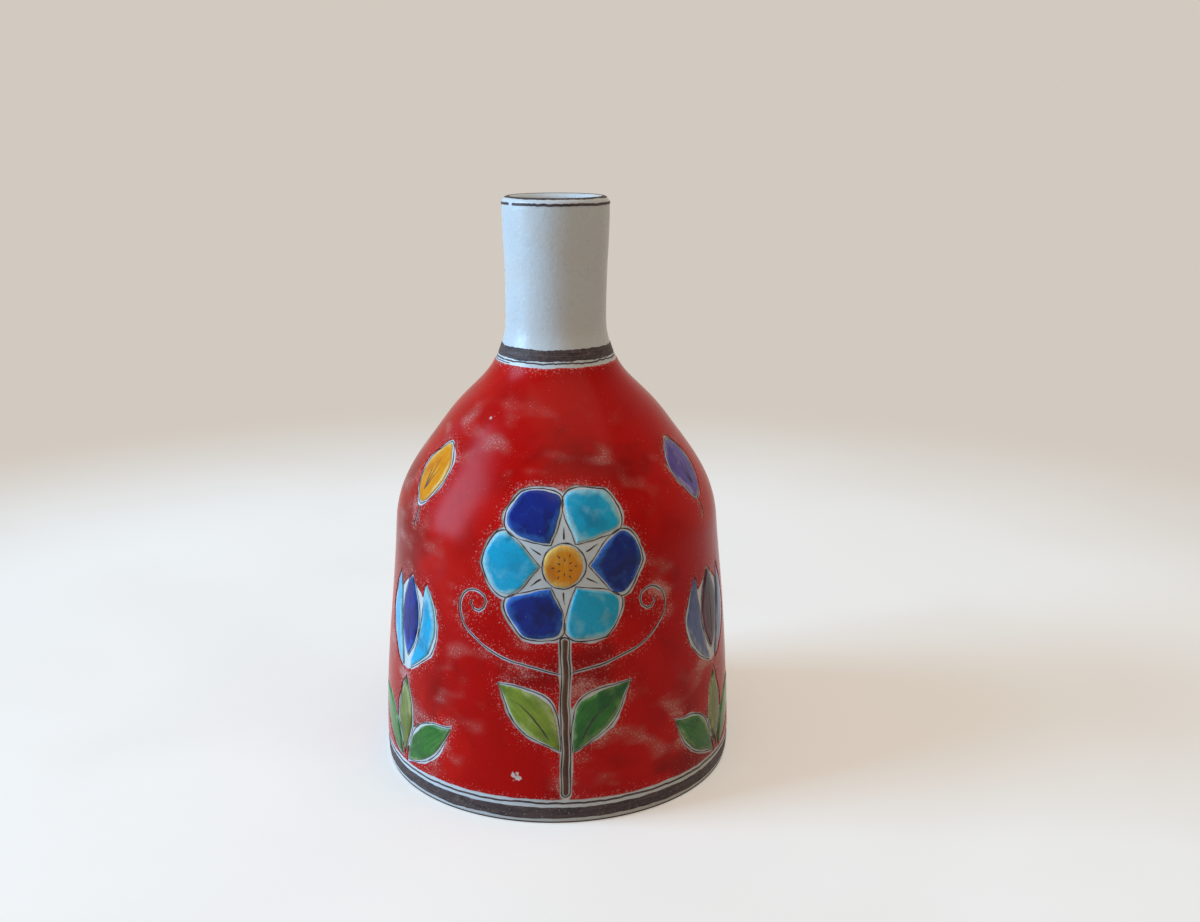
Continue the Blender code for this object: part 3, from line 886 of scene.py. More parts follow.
def note_depth(item, outline, full):
    """Stores how deep in its pool each point lies, how near an end, and where on the flat drawing."""
    depth = item.data.attributes.new("depth", "FLOAT", "POINT")
    ends = item.data.attributes.new("ends", "FLOAT", "POINT")
    flat = item.data.attributes.new("flat", "FLOAT_VECTOR", "POINT")
    low, high = (pick(p.y for p in outline) for pick in (min, max))
    for k, vertex in enumerate(item.data.vertices):
        depth.data[k].value = clamp(distance_to(vertex.co.xy, outline) / full)
        ends.data[k].value = abs(2 * clamp((vertex.co.y - low) / (high - low)) - 1)
        flat.data[k].vector = (vertex.co.x, vertex.co.y, 0.0)


def laid(template, drawn, name, height=0.0, uneven=0.0):
    """A copy of a flat template, with its own mesh, laid on the wall where it is drawn.

    An `uneven` one is filled short of its outline, more in one place than in another.
    """
    item = bpy.data.objects.new(name, template.data.copy())
    item.data.name = name
    bpy.context.scene.collection.objects.link(item)
    own = noise.noise_vector(Vector((*drawn.start, drawn.plant + drawn.turn)) / 7.3) * 40
    for vertex in item.data.vertices:
        x, y = vertex.co.x * (-1 if drawn.flip else 1), vertex.co.y
        if uneven:
            x *= 1 - uneven * (0.5 + noise.noise(own + Vector((x / 6, y / 6, 0.0))))
            y += uneven * 2.5 * noise.noise(own + Vector((x / 5, y / 5, 9.0)))
        spot = turned_flat((x, y), drawn.turn, drawn.start)
        spot += strayed(spot, drawn.plant, HAND_STRAYS)
        vertex.co = on_wall(spot, drawn.plant, vertex.co.z + height)
    if drawn.flip:
        item.data.flip_normals()
    return item


def made_once(store, drawn, make):
    """The flat template of a drawn shape, modelled the first time that it is asked for."""
    key = (drawn.outline.__name__, *sorted(drawn.sizes.items()))
    if key not in store:
        store[key] = make(drawn)
    return store[key]


def put_away(store):
    """Deletes the flat templates once their copies are laid."""
    clear_selection()
    for item in store.values():
        item.select_set(True)
    bpy.ops.object.delete()


def piece(item, slot_name, material, *nodes):
    """Gives a finished piece its material, and says what it goes with and stands for."""
    item.data.materials.clear()
    item.data.materials.append(material)
    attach(item, "root")
    if nodes:
        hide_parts(*nodes)


# Materials


def linear(colour):
    """An sRGB hex colour as linear red, green, blue and alpha."""
    channels = [int(colour[k : k + 2], 16) / 255 for k in (1, 3, 5)]
    return (*[c / 12.92 if c <= 0.04045 else ((c + 0.055) / 1.055) ** 2.4 for c in channels], 1.0)


def feed(tree, socket, value):
    """Gives a socket a value, an output, or a node whose first output in use feeds it."""
    if isinstance(value, bpy.types.Node):
        value = next(output for output in value.outputs if output.enabled)
    if isinstance(value, bpy.types.NodeSocket):
        tree.links.new(value, socket)
    else:
        socket.default_value = value


def add_node(tree, kind, feeds=None, **settings):
    """One node with its settings, and with what feeds its sockets."""
    made = tree.nodes.new("ShaderNode" + kind)
    for name, value in (USUAL_SETTINGS.get(kind, {}) | settings).items():
        setattr(made, name, value)
    for socket, value in (feeds or {}).items():
        feed(tree, made.inputs[socket], value)
    return made


def fresh_material(name, **shader_values):
    """A new material, its tree and its Principled shader, with what is the same all over."""
    material = bpy.data.materials.new(name)
    material.use_nodes = True
    tree = material.node_tree
    shader = tree.nodes["Principled BSDF"]
    for socket, value in shader_values.items():
        feed(tree, shader.inputs[socket.replace("_", " ")], value)
    return material, tree, shader


def patched(tree, where, body, layers):
    """Patches of colour over a body colour, as the tables of layers give them."""
    for size, detail, start, full, strength, colour in layers:
        feeds = {"Vector": where, "Scale": 1000 / size, "Detail": detail, "Distortion": 0.5}
        cloud = add_node(tree, "TexNoise", feeds)
        feeds = {"Value": cloud, "From Min": start, "From Max": full, "To Max": strength}
        share = add_node(tree, "MapRange", feeds)
        body = add_node(tree, "Mix", {"Factor": share, MIX_A: body, MIX_B: linear(colour)})
    return body


def burst_bubbles(tree, where, spacing, size, strength):
    """Round spots of `size` millimetres, about `spacing` apart, as strong as `strength` within."""
    cells = add_node(tree, "TexVoronoi", {"Vector": where, "Scale": 1000 / spacing})
    edge = size / spacing / 2
    feeds = {"Value": cells, "From Min": edge, "From Max": edge / 2, "To Max": strength}
    return add_node(tree, "MapRange", feeds)


def finished(tree, shader, body, rough, height, depth_mm):
    """Feeds the shader its colour, its roughness and a bump as deep as `depth_mm`."""
    feed(tree, shader.inputs["Base Color"], body)
    feed(tree, shader.inputs["Roughness"], rough)
    bump = add_node(tree, "Bump", {"Height": height, "Distance": depth_mm * MM})
    feed(tree, shader.inputs["Normal"], bump)


def pooled_glaze(name):
    """Fluid alkaline glaze flooded into a drawn cell: glassy, and pale where it runs thin over white."""
    full, thin, dark, brush, tips = POOLED[name]
    material, tree, shader = fresh_material(name, IOR=1.5, Specular_IOR_Level=0.22)
    where = add_node(tree, "TexCoord").outputs["Object"]
    depth = add_node(tree, "Attribute", attribute_name="depth").outputs["Fac"]
    flat = add_node(tree, "Attribute", attribute_name="flat").outputs["Vector"]
    # The glaze thins towards its edge, in ragged bays of 2 or 3 mm. While wet it ran to one side of
    # its cell, so that the thin part is narrow there and 2 to 3 mm wide on the other side.
    drift = add_node(tree, "TexNoise", {"Vector": where, "Scale": 1000 / 2.6, "Detail": 2.0})
    feeds = {"Value": drift, "To Min": -0.3, "To Max": 0.3}
    drift = add_node(tree, "MapRange", feeds, interpolation_type="LINEAR")
    ran = add_node(tree, "TexNoise", {"Vector": where, "Scale": 1000 / 13, "Detail": 1.0})
    feeds = {"Value": ran, "From Min": 0.35, "From Max": 0.65, "To Min": -0.4, "To Max": 0.2}
    ran = add_node(tree, "MapRange", feeds)
    cover = add_node(tree, "Math", {0: depth, 1: drift}, operation="ADD")
    cover = add_node(tree, "Math", {0: cover, 1: ran}, operation="ADD")
    cover = add_node(tree, "MapRange", {"Value": cover, "From Min": -0.2, "From Max": 0.42})
    body = add_node(tree, "Mix", {"Factor": cover, MIX_A: linear(thin), MIX_B: linear(full)})
    layers = (
        (9, 3.0, 0.46, 0.7, 0.7, dark),
        (6, 2.0, 0.52, 0.74, 0.32, thin),
        (0.5, 2.0, 0.48, 0.7, 0.32, dark),
    )
    body = patched(tree, where, body, layers)
    # Brush strokes run along the shape, 0.8 mm wide and 12 mm long.
    strokes = add_node(tree, "Mapping", {"Vector": flat, "Scale": (1 / 0.8, 1 / 12, 1.0)})
    feeds = {"Vector": strokes, "Scale": 1.0, "Detail": 2.0, "Distortion": 0.4}
    streaks = add_node(tree, "TexNoise", feeds)
    feeds = {"Value": streaks, "From Min": 0.35, "From Max": 0.7, "To Max": brush}
    coats = [(add_node(tree, "MapRange", feeds), dark)]
    if tips:
        # Glaze was dabbed on once more at the tips of a leaf.
        ends = add_node(tree, "Attribute", attribute_name="ends").outputs["Fac"]
        ends = add_node(tree, "Math", {0: ends, 1: drift}, operation="ADD")
        feeds = {"Value": ends, "From Min": 0.62, "From Max": 0.95, "To Max": tips}
        coats.append((add_node(tree, "MapRange", feeds), dark))
    # Burst bubbles show the white under the glaze.
    bubbles = burst_bubbles(tree, where, 4.6, 0.4, 0.35)
    for share, colour in (*coats, (bubbles, "#E4ECEC")):
        body = add_node(tree, "Mix", {"Factor": share, MIX_A: body, MIX_B: linear(colour)})
    rough = add_node(tree, "TexNoise", {"Vector": where, "Scale": 1000 / 5})
    feeds = {"Value": rough, "To Min": 0.02, "To Max": 0.26}
    rough = add_node(tree, "MapRange", feeds, interpolation_type="LINEAR")
    skin = add_node(tree, "TexNoise", {"Vector": where, "Scale": 1000 / 2.6, "Detail": 1.0})
    skin = add_node(tree, "Math", {0: skin, 1: bubbles}, operation="SUBTRACT")
    finished(tree, shader, body, rough, skin, 0.03)
    return material


def white_glaze():
    """Opaque tin-white glaze over clay: satin, faintly blue, with a fine speckle and iron spots."""
    material, tree, shader = fresh_material("white_glaze", IOR=1.5, Specular_IOR_Level=0.45)
    where = add_node(tree, "TexCoord").outputs["Object"]
    body = patched(tree, where, linear("#DBE4EA"), WHITE_PATCHES)
    spots = burst_bubbles(tree, where, 6.5, 0.4, 0.4)
    body = add_node(tree, "Mix", {"Factor": spots, MIX_A: body, MIX_B: linear("#857B70")})
    rough = add_node(tree, "TexNoise", {"Vector": where, "Scale": 1000 / 8})
    feeds = {"Value": rough, "To Min": 0.15, "To Max": 0.45}
    rough = add_node(tree, "MapRange", feeds, interpolation_type="LINEAR")
    skin = add_node(tree, "TexNoise", {"Vector": where, "Scale": 1000 / 1.8, "Detail": 3.0})
    finished(tree, shader, body, rough, skin, 0.15)
    return material


def red_glaze():
    """Glossy selenium-red glaze, brushed on: deep where thick, milky where thin, foamed at its edges."""
    material, tree, shader = fresh_material("red_glaze", IOR=1.5, Specular_IOR_Level=0.11)
    where = add_node(tree, "TexCoord").outputs["Object"]
    rim = add_node(tree, "Attribute", attribute_name="rim").outputs["Fac"]
    body = patched(tree, where, linear("#C40402"), RED_PATCHES)
    # Milky patches about a centimetre across, and only in some places.
    smeared = add_node(tree, "Mapping", {"Vector": where, "Scale": (0.75, 0.75, 1.3)})
    patch = add_node(tree, "TexNoise", {"Vector": smeared, "Scale": 1000 / 10, "Detail": 1.5})
    patch = add_node(tree, "MapRange", {"Value": patch, "From Min": 0.48, "From Max": 0.82})
    place = add_node(tree, "TexNoise", {"Vector": where, "Scale": 1000 / 34, "Detail": 1.0})
    place = add_node(tree, "MapRange", {"Value": place, "From Min": 0.43, "From Max": 0.58})
    milk = add_node(tree, "Math", {0: patch, 1: place}, operation="MULTIPLY")
    veil = add_node(tree, "Math", {0: milk, 1: 0.62}, operation="MULTIPLY")
    # Foam of half a millimetre, which crowds in the milky patches and towards an edge of the coat.
    sand = add_node(tree, "TexNoise", {"Vector": where, "Scale": 1000 / 0.55, "Detail": 2.0})
    crowd = add_node(tree, "Math", {0: rim, 1: 0.18, 2: sand}, operation="MULTIPLY_ADD")
    crowd = add_node(tree, "Math", {0: milk, 1: 0.24, 2: crowd}, operation="MULTIPLY_ADD")
    feeds = {"Value": crowd, "From Min": 0.69, "From Max": 0.82, "To Max": 0.6}
    foam = add_node(tree, "MapRange", feeds)
    # Where the coat ends, it runs thin over the white.
    feeds = {"Value": rim, "From Min": 0.88, "From Max": 1.0, "To Max": 0.4}
    thin = add_node(tree, "MapRange", feeds)
    # A few pinholes, and ragged chips about a millimetre and a half across, down to the white.
    torn = add_node(tree, "TexNoise", {"Vector": where, "Scale": 1000 / 1.4, "Detail": 2.0})
    feeds = {0: torn.outputs["Color"], 1: (1.6 * MM, 1.6 * MM, 1.6 * MM), 2: where}
    torn = add_node(tree, "VectorMath", feeds, operation="MULTIPLY_ADD")
    chips = burst_bubbles(tree, torn, 27, 2.2, 0.9)
    holes = burst_bubbles(tree, where, 11, 0.4, 0.5)
    bare = add_node(tree, "Math", {0: chips, 1: holes}, operation="MAXIMUM")
    # One larger flake is gone, low at the front.
    apart = add_node(tree, "VectorMath", {0: torn, 1: FRONT_CHIP}, operation="DISTANCE").outputs["Value"]
    jags = add_node(tree, "TexNoise", {"Vector": where, "Scale": 1000 / 1.5, "Detail": 3.0})
    apart = add_node(tree, "Math", {0: jags, 1: 5 * MM, 2: apart}, operation="MULTIPLY_ADD")
    feeds = {"Value": apart, "From Min": 3.9 * MM, "From Max": 3.5 * MM, "To Max": 0.9}
    flake = add_node(tree, "MapRange", feeds)
    bare = add_node(tree, "Math", {0: flake, 1: bare}, operation="MAXIMUM")
    for share, colour in ((veil, "#C8766E"), (foam, "#DCA8A3"), (thin, "#D88C84"), (bare, "#E2DEDC")):
        body = add_node(tree, "Mix", {"Factor": share, MIX_A: body, MIX_B: linear(colour)})
    dull = add_node(tree, "Math", {0: foam, 1: bare}, operation="MAXIMUM")
    rough = add_node(tree, "Math", {0: dull, 1: 0.33, 2: 0.24}, operation="MULTIPLY_ADD")
    skin = add_node(tree, "TexNoise", {"Vector": where, "Scale": 1000 / 3.5, "Detail": 2.0})
    skin = add_node(tree, "Math", {0: dull, 1: -0.7, 2: skin}, operation="MULTIPLY_ADD")
    finished(tree, shader, body, rough, skin, 0.05)
    return material


def manganese_slip(name, brush_width, thick, thin, patches):
    """Dry manganese-brown slip, laid on with a brush as the pot turned: matt, streaked and flecked."""
    material, tree, shader = fresh_material(name, IOR=1.45)
    where = add_node(tree, "TexCoord").outputs["Object"]
    # The brush ran round the pot, so that its streaks are long and level.
    level = add_node(tree, "Mapping", {"Vector": where, "Scale": (0.05, 0.05, 1.0)})
    feeds = {"Vector": level, "Scale": 1000 / brush_width, "Detail": 3.0}
    streaks = add_node(tree, "TexNoise", feeds)
    streaks = add_node(tree, "MapRange", {"Value": streaks, "From Min": 0.35, "From Max": 0.65})
    body = add_node(tree, "Mix", {"Factor": streaks, MIX_A: linear(thick), MIX_B: linear(thin)})
    body = patched(tree, where, body, patches)
    blots = add_node(tree, "TexNoise", {"Vector": where, "Scale": 1000 / 1.1, "Detail": 3.0})
    feeds = {"Value": blots, "To Min": 0.3, "To Max": 0.9}
    rough = add_node(tree, "MapRange", feeds, interpolation_type="LINEAR")
    height = add_node(tree, "Math", {0: streaks, 1: blots}, operation="ADD")
    finished(tree, shader, body, rough, height, 0.07)
    return material


def bare_clay():
    """Low-fired buff-red clay, left bare underneath: dry, with grog, and darkened at its lowest edge by
    painted contact shadow together with a dark line.
    """
    material, tree, shader = fresh_material("terracotta", IOR=1.45)
    where = add_node(tree, "TexCoord").outputs["Object"]
    body = patched(tree, where, linear("#B9805A"), CLAY_PATCHES)
    grog = burst_bubbles(tree, where, 1.6, 0.6, 0.5)
    # The foot's lowest outer edge, where it meets the floor, is painted dark: a painted contact shadow,
    # together with the dark line that the foot's edge has there.
    height = add_node(tree, "SeparateXYZ", {0: where}).outputs["Z"]
    feeds = {"Value": height, "From Min": 1.2 * MM, "From Max": 0.9 * MM}
    low = add_node(tree, "MapRange", feeds, interpolation_type="LINEAR")
    outward = add_node(tree, "VectorMath", {0: where, 1: (1.0, 1.0, 0.0)}, operation="MULTIPLY")
    outward = add_node(tree, "VectorMath", {0: outward}, operation="LENGTH").outputs["Value"]
    feeds = {"Value": outward, "From Min": 60.8 * MM, "From Max": 61.4 * MM, "To Max": 0.9}
    outer = add_node(tree, "MapRange", feeds, interpolation_type="LINEAR")
    edge = add_node(tree, "Math", {0: low, 1: outer}, operation="MULTIPLY")
    # The grog is the clay's own; the dark at the foot's edge is partly painted contact shadow.
    for share, colour in ((grog, "#D8B898"), (edge, "#33282C")):
        body = add_node(tree, "Mix", {"Factor": share, MIX_A: body, MIX_B: linear(colour)})
    feeds = {"Value": grog, "To Min": 0.9, "To Max": 0.75}
    rough = add_node(tree, "MapRange", feeds, interpolation_type="LINEAR")
    feeds = {"Vector": where, "Scale": 180.0, "Distortion": 1.0}
    rings = add_node(tree, "TexWave", feeds, wave_type="RINGS", rings_direction="Z")
    finished(tree, shader, body, rough, rings, 0.07)
    return material


def material_of(name):
    """The material of that name, made the first time that it is asked for.

    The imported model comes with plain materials, some of the same names, which are renamed.
    """
    if name not in bpy.data.materials or "vase" not in bpy.data.materials[name]:
        if name in bpy.data.materials:
            bpy.data.materials[name].name = name + "_plain"
        makers = {
            "white_glaze": white_glaze,
            "red_glaze": red_glaze,
            "terracotta": bare_clay,
            "manganese_slip": lambda: manganese_slip(name, 0.5, "#2C2226", "#524244", SLIP_PATCHES),
            "manganese_line": lambda: manganese_slip(name, 1.6, "#221A1D", "#3C3033", SLIP_PATCHES[:1]),
        }
        made = makers[name]() if name in makers else pooled_glaze(name)
        made["vase"] = True
    return bpy.data.materials[name]


# Settings that a user would change


class VaseSurface(bpy.types.PropertyGroup):
    """Sizes of the painting."""

    pool_height: bpy.props.FloatProperty(
        name="Pool Height", description="How far a pool of glaze stands off the white round it",
        default=0.55 * MM, min=0.1 * MM, max=1.0 * MM, unit="LENGTH", precision=5,
    )  # fmt: skip
    line_width: bpy.props.FloatProperty(
        name="Line Width", description="Width of the drawn outlines",
        default=0.48 * MM, min=0.2 * MM, max=0.8 * MM, unit="LENGTH", precision=5,
    )  # fmt: skip
    line_place: bpy.props.FloatProperty(
        name="Line Place", description="How far outside its pool an outline is drawn",
        default=0.58 * MM, min=0.3 * MM, max=0.9 * MM, unit="LENGTH", precision=5,
    )  # fmt: skip
    fray: bpy.props.FloatProperty(
        name="Fray", description="How far the edges of the red and the bands stray",
        default=0.42 * MM, min=0.0, max=1.0 * MM, unit="LENGTH", precision=5,
    )  # fmt: skip


class VaseStudio(bpy.types.PropertyGroup):
    """Light and floor."""

    window_power: bpy.props.FloatProperty(
        name="Window", description="Power of the cool light on the left",
        default=57.0, min=0.0, unit="POWER",
    )  # fmt: skip
    ceiling_power: bpy.props.FloatProperty(
        name="Ceiling", description="Power of the warm light overhead",
        default=21.0, min=0.0, unit="POWER",
    )  # fmt: skip
    sky: bpy.props.FloatProperty(
        name="Sky", description="Strength of the light from all round", default=0.2, min=0.0,
    )  # fmt: skip
    floor_colour: bpy.props.FloatVectorProperty(
        name="Floor", description="Colour of the floor", subtype="COLOR", size=4,
        default=linear("#F2F0EC"), min=0.0, max=1.0,
    )  # fmt: skip
    backdrop_colour: bpy.props.FloatVectorProperty(
        name="Backdrop", description="Colour seen behind the floor", subtype="COLOR", size=4,
        default=linear("#D2CAC0"), min=0.0, max=1.0,
    )  # fmt: skip


# Operators, one for each group of like pieces


class VASE_OT_clay(bpy.types.Operator):
    """Throw the clay body, with its foot ring and hollow inside"""

    bl_idname = "vase.clay"
    bl_label = "Clay Body"

    def execute(self, context):
        ring = FOOT_RADIUS - FOOT_CHAMFER - FOOT_RING
        inward, up = FOOT_RING_EDGE
        foot = [(0.0, FOOT_RECESS), (ring - FOOT_RECESS, FOOT_RECESS), (ring - inward, up), (ring, 0.0)]
        wall = [tuple(point) for point in PATH[2:WALL_POINTS:3] + PATH[WALL_POINTS:-1:2]]
        inside = inside_path(LIP_HEIGHT - THROAT_DEPTH, 6, [k / 6 for k in range(7)])
        item = spun("vase_clay", foot + list(FOOT_WALL) + wall + inside)
        for vertex in item.data.vertices:
            angle = math.atan2(vertex.co.y, vertex.co.x)
            radius = math.hypot(vertex.co.x, vertex.co.y)
            swayed = radius + sway(angle, vertex.co.z) * eased(*SWAY_RADII, radius)
            stretch = swayed / max(radius, 1e-9)
            vertex.co = Vector((vertex.co.x * stretch, vertex.co.y * stretch, vertex.co.z)) * MM
        smooth(item, 35)
        piece(item, "terracotta", material_of("terracotta"), "clay_body")
        return {"FINISHED"}


class VASE_OT_white(bpy.types.Operator):
    """Pour the white glaze outside, over the lip and inside"""

    bl_idname = "vase.white"
    bl_label = "White Glaze"

    def execute(self, context):
        low = along_at(WHITE_FOOT)
        section = coat_section(low, REACH[-1], ground_lift, lambda place: LINING_GAP, COAT_ROW, 0.7)
        # The lip's rows lie closer, so that it comes out round.
        middle = TUBE + (NECK_LIFT + LINING_GAP) / 2
        near, far = LIP_START - LIP_CLEAR, LIP_END + LIP_CLEAR
        kept = [(radius, at) for radius, at in section if radius < middle or not near < at < far]
        over = [k for k, (radius, at) in enumerate(kept) if radius > middle and at > LIP_END]
        lip = [(TUBE + NECK_LIFT, lip_place(k / LIP_ROWS)) for k in range(LIP_ROWS, -1, -1)]
        kept[over[-1] + 1 : over[-1] + 1] = lip
        item = spun("vase_white", kept)
        lay_tube(item)
        smooth(item)
        piece(item, "white_glaze", material_of("white_glaze"), "white_glaze")
        self.line_inside()
        return {"FINISHED"}

    def line_inside(self):
        """The coat poured inside, from the throat to the middle of the floor."""
        top = LIP_HEIGHT - THROAT_DEPTH + LINING_TOP
        wall = [Vector(point) for point in inside_path(top - 1, 4, [k / 8 for k in range(1, 9)])]
        wall.insert(0, Vector((wall[0].x, top)))
        section = []
        for lift in (LINING_GAP, LINING_GAP + LINING):
            moved = []
            for k, point in enumerate(wall):
                way = (wall[min(k + 1, len(wall) - 1)] - wall[max(k - 1, 0)]).normalized()
                moved.append(point + Vector((way.y, -way.x)) * lift)
            moved[-1].x = 0.0
            section += moved if lift == LINING_GAP else moved[::-1]
        section = section[len(wall) :] + section[: len(wall)]
        item = spun("vase_lining", [tuple(p) for p in section])
        for vertex in item.data.vertices:
            vertex.co *= MM
        smooth(item)
        piece(item, "white_glaze", material_of("white_glaze"), "lining_glaze")


class VASE_OT_red(bpy.types.Operator):
    """Brush on the red coat, left off round each painted shape"""

    bl_idname = "vase.red"
    bl_label = "Red Coat"

    def execute(self, context):
        fray = context.scene.vase_surface.fray / MM
        low, high = (along_at(height) for height in RED_COAT)
        section = coat_section(low, high, skin_lift, lambda place: RED_INSIDE, COAT_ROW, 0.8)
        item = spun("vase_red", section)
        lay_tube(item, ragged(low, high, fray, 3.0))
        windows = bpy.data.collections.new("windows")
        context.scene.collection.children.link(windows)
        edges = []
        drawn = [pool for pools in all_pools().values() for pool in pools if pool.outline is not disc]
        for shape in drawn + open_places():
            edges += self.cut_window(shape, windows, fray)
        clear_selection()
        context.view_layer.objects.active = item
        cut = item.modifiers.new("windows", "BOOLEAN")
        cut.operation = "DIFFERENCE"
        cut.solver = "EXACT"
        cut.operand_type = "COLLECTION"
        cut.collection = windows
        cut.use_self = True
        bpy.ops.object.modifier_apply(modifier=cut.name)
        for cutter in list(windows.objects):
            bpy.data.objects.remove(cutter)
        bpy.data.collections.remove(windows)
        smooth(item, 40)
        self.note_rim(item, edges, (low, high))
        piece(item, "red_glaze", material_of("red_glaze"), "red_glaze")
        return {"FINISHED"}

    def cut_window(self, drawn, windows, fray):
        """A cutter round one painted shape, and the points of its edge."""
        outline = drawn.at(TENDRIL_WINDOW if drawn.thin() else WINDOW)
        item = loop_of_points("window_" + drawn.name, [(*p, CUTTER[0]) for p in outline])
        bpy.ops.mesh.fill()
        bpy.ops.mesh.extrude_region_move()
        pull_loop(item, outline, outline, CUTTER[1])
        face_out(item)
        strays = []
        for (wave, own, wide, narrow), unit in ((WINDOW_ROUGH, fray), (WINDOW_LOOSE, 1.0)):
            strays.append((wave, unit * (narrow if drawn.thin() else wide), own))
        for vertex in item.data.vertices:
            flat = (vertex.co.x * (-1 if drawn.flip else 1), vertex.co.y)
            spot = turned_flat(flat, drawn.turn, drawn.start)
            spot += strayed(spot, drawn.plant, (*HAND_STRAYS, *strays))
            vertex.co = on_wall(spot, drawn.plant, vertex.co.z)
        if drawn.flip:
            item.data.flip_normals()
        item.users_collection[0].objects.unlink(item)
        windows.objects.link(item)
        return [vertex.co.copy() for vertex in item.data.vertices[: len(outline)]]

    def note_rim(self, item, edges, ends):
        """Stores how near an edge of the red each of its points lies, from 0 far from it to 1."""
        tree = kdtree.KDTree(len(edges))
        for k, point in enumerate(edges):
            tree.insert(point, k)
        tree.balance()
        low, high = (off_clay(end, BODY_LIFT).y * MM for end in ends)
        rim = item.data.attributes.new("rim", "FLOAT", "POINT")
        for k, vertex in enumerate(item.data.vertices):
            # The stored points are those of the cutters' inner ends, that deep in the white.
            away = max(tree.find(vertex.co)[2] + CUTTER[0] * MM, 0.0)
            away = min(away, abs(vertex.co.z - low), abs(vertex.co.z - high))
            rim.data[k].value = 1 - clamp(away / (RIM * MM))


class VASE_OT_bands(bpy.types.Operator):
    """Paint the dark bands and lines at the lip, the neck and the foot"""

    bl_idname = "vase.bands"
    bl_label = "Slip Bands"

    def execute(self, context):
        fray = context.scene.vase_surface.fray / MM
        for name, (heights, *brush) in BANDS.items():
            item = self.band(name, *(along_at(height) for height in heights), fray, *brush)
            if name == "neck_line":
                # The brush ran on past its start on the left, a little lower.
                heights, *brush = LAP
                lap = self.band("lap", *(along_at(height) for height in heights), fray, *brush)
                item = joined([item, lap], "vase_neck_line")
            piece(item, "manganese_slip", material_of("manganese_slip"), name)
        # One line goes round the lip's outer corner and breaks off at the front left, where the brush
        # met its start. The other goes round its crest.
        lines = []
        for name, (shares, *brush) in LIP_LINES.items():
            lines.append(self.band(name, *(lip_place(share) for share in shares), fray, *brush))
        item = joined(lines, "vase_lip_line")
        piece(item, "manganese_slip", material_of("manganese_slip"), "lip_line")
        return {"FINISHED"}

    def band(self, name, low, high, fray, share, seed, melt, height, gap=None):
        """A ring of slip between two places on the path, with its row of a table.

        A thin one is also worn away here and there.
        """

        def top(place):
            return ground_lift(place) + height

        def bottom(place):
            return ground_lift(place) - BAND_SINK

        def worn(angle, along):
            wear = 1.0 if height > BAND_THIN else clamp(1.5 + 1.4 * around(angle, 0.16, seed))
            if gap:
                middle, reach = gap
                away = abs((angle - middle + math.pi) % math.tau - math.pi)
                wear *= eased(reach - 0.03, reach + 0.04, away)
            return wear

        item = spun("vase_" + name, coat_section(low, high, top, bottom, BAND_ROW, melt))
        lay_tube(item, ragged(low, high, fray * share, seed), worn)
        smooth(item)
        return item


def flood(context, letters, *painters):
    """Floods each cell that the painters draw for the plants of these letters with its glaze."""
    height = context.scene.vase_surface.pool_height / MM
    store = {}

    def make(drawn):
        sizes = drawn.sizes
        half = sizes["radius"] if "radius" in sizes else sizes["width"] / 2
        rings = [(0.0, -0.2), (0.0, 0.0)]
        for share in POOL_ROWS:
            inset = half * share
            swell = math.sqrt(clamp(1 - (1 - clamp(inset / POOL_ROUND)) ** 2))
            rings.append((-inset, height * (POOL_EDGE + (1 - POOL_EDGE) * swell)))
        template = ringed("flat_pool", drawn.at, rings)
        note_depth(template, drawn.at(0.0), min(half, POOL_DEEP))
        return template

    for drawn in (pool for letter in letters for painter in painters for pool in painter(letter)):
        template = made_once(store, drawn, make)
        item = laid(template, drawn, "vase_" + drawn.name, uneven=POOL_SHORT)
        smooth(item, 60)
        piece(item, drawn.glaze, material_of(drawn.glaze), drawn.name)
    put_away(store)


class VASE_OT_blooms(bpy.types.Operator):
    """Flood the petals and eyes of the blossoms"""

    bl_idname = "vase.blooms"
    bl_label = "Blossoms"

    def execute(self, context):
        flood(context, BLOOMS, bloom_pools)
        return {"FINISHED"}


class VASE_OT_stems(bpy.types.Operator):
    """Flood the blossoms' stems and leaves"""

    bl_idname = "vase.stems"
    bl_label = "Stems and Leaves"

    def execute(self, context):
        flood(context, BLOOMS, stem_pools)
        return {"FINISHED"}


class VASE_OT_buds(bpy.types.Operator):
    """Flood the buds and the leaves at their feet"""

    bl_idname = "vase.buds"
    bl_label = "Buds"

    def execute(self, context):
        flood(context, BUDS, bud_pools, foot_leaf_pools)
        return {"FINISHED"}


class VASE_OT_fruits(bpy.types.Operator):
    """Flood the fruits on the shoulder"""

    bl_idname = "vase.fruits"
    bl_label = "Fruits"

    def execute(self, context):
        flood(context, BUDS, fruit_pools)
        return {"FINISHED"}


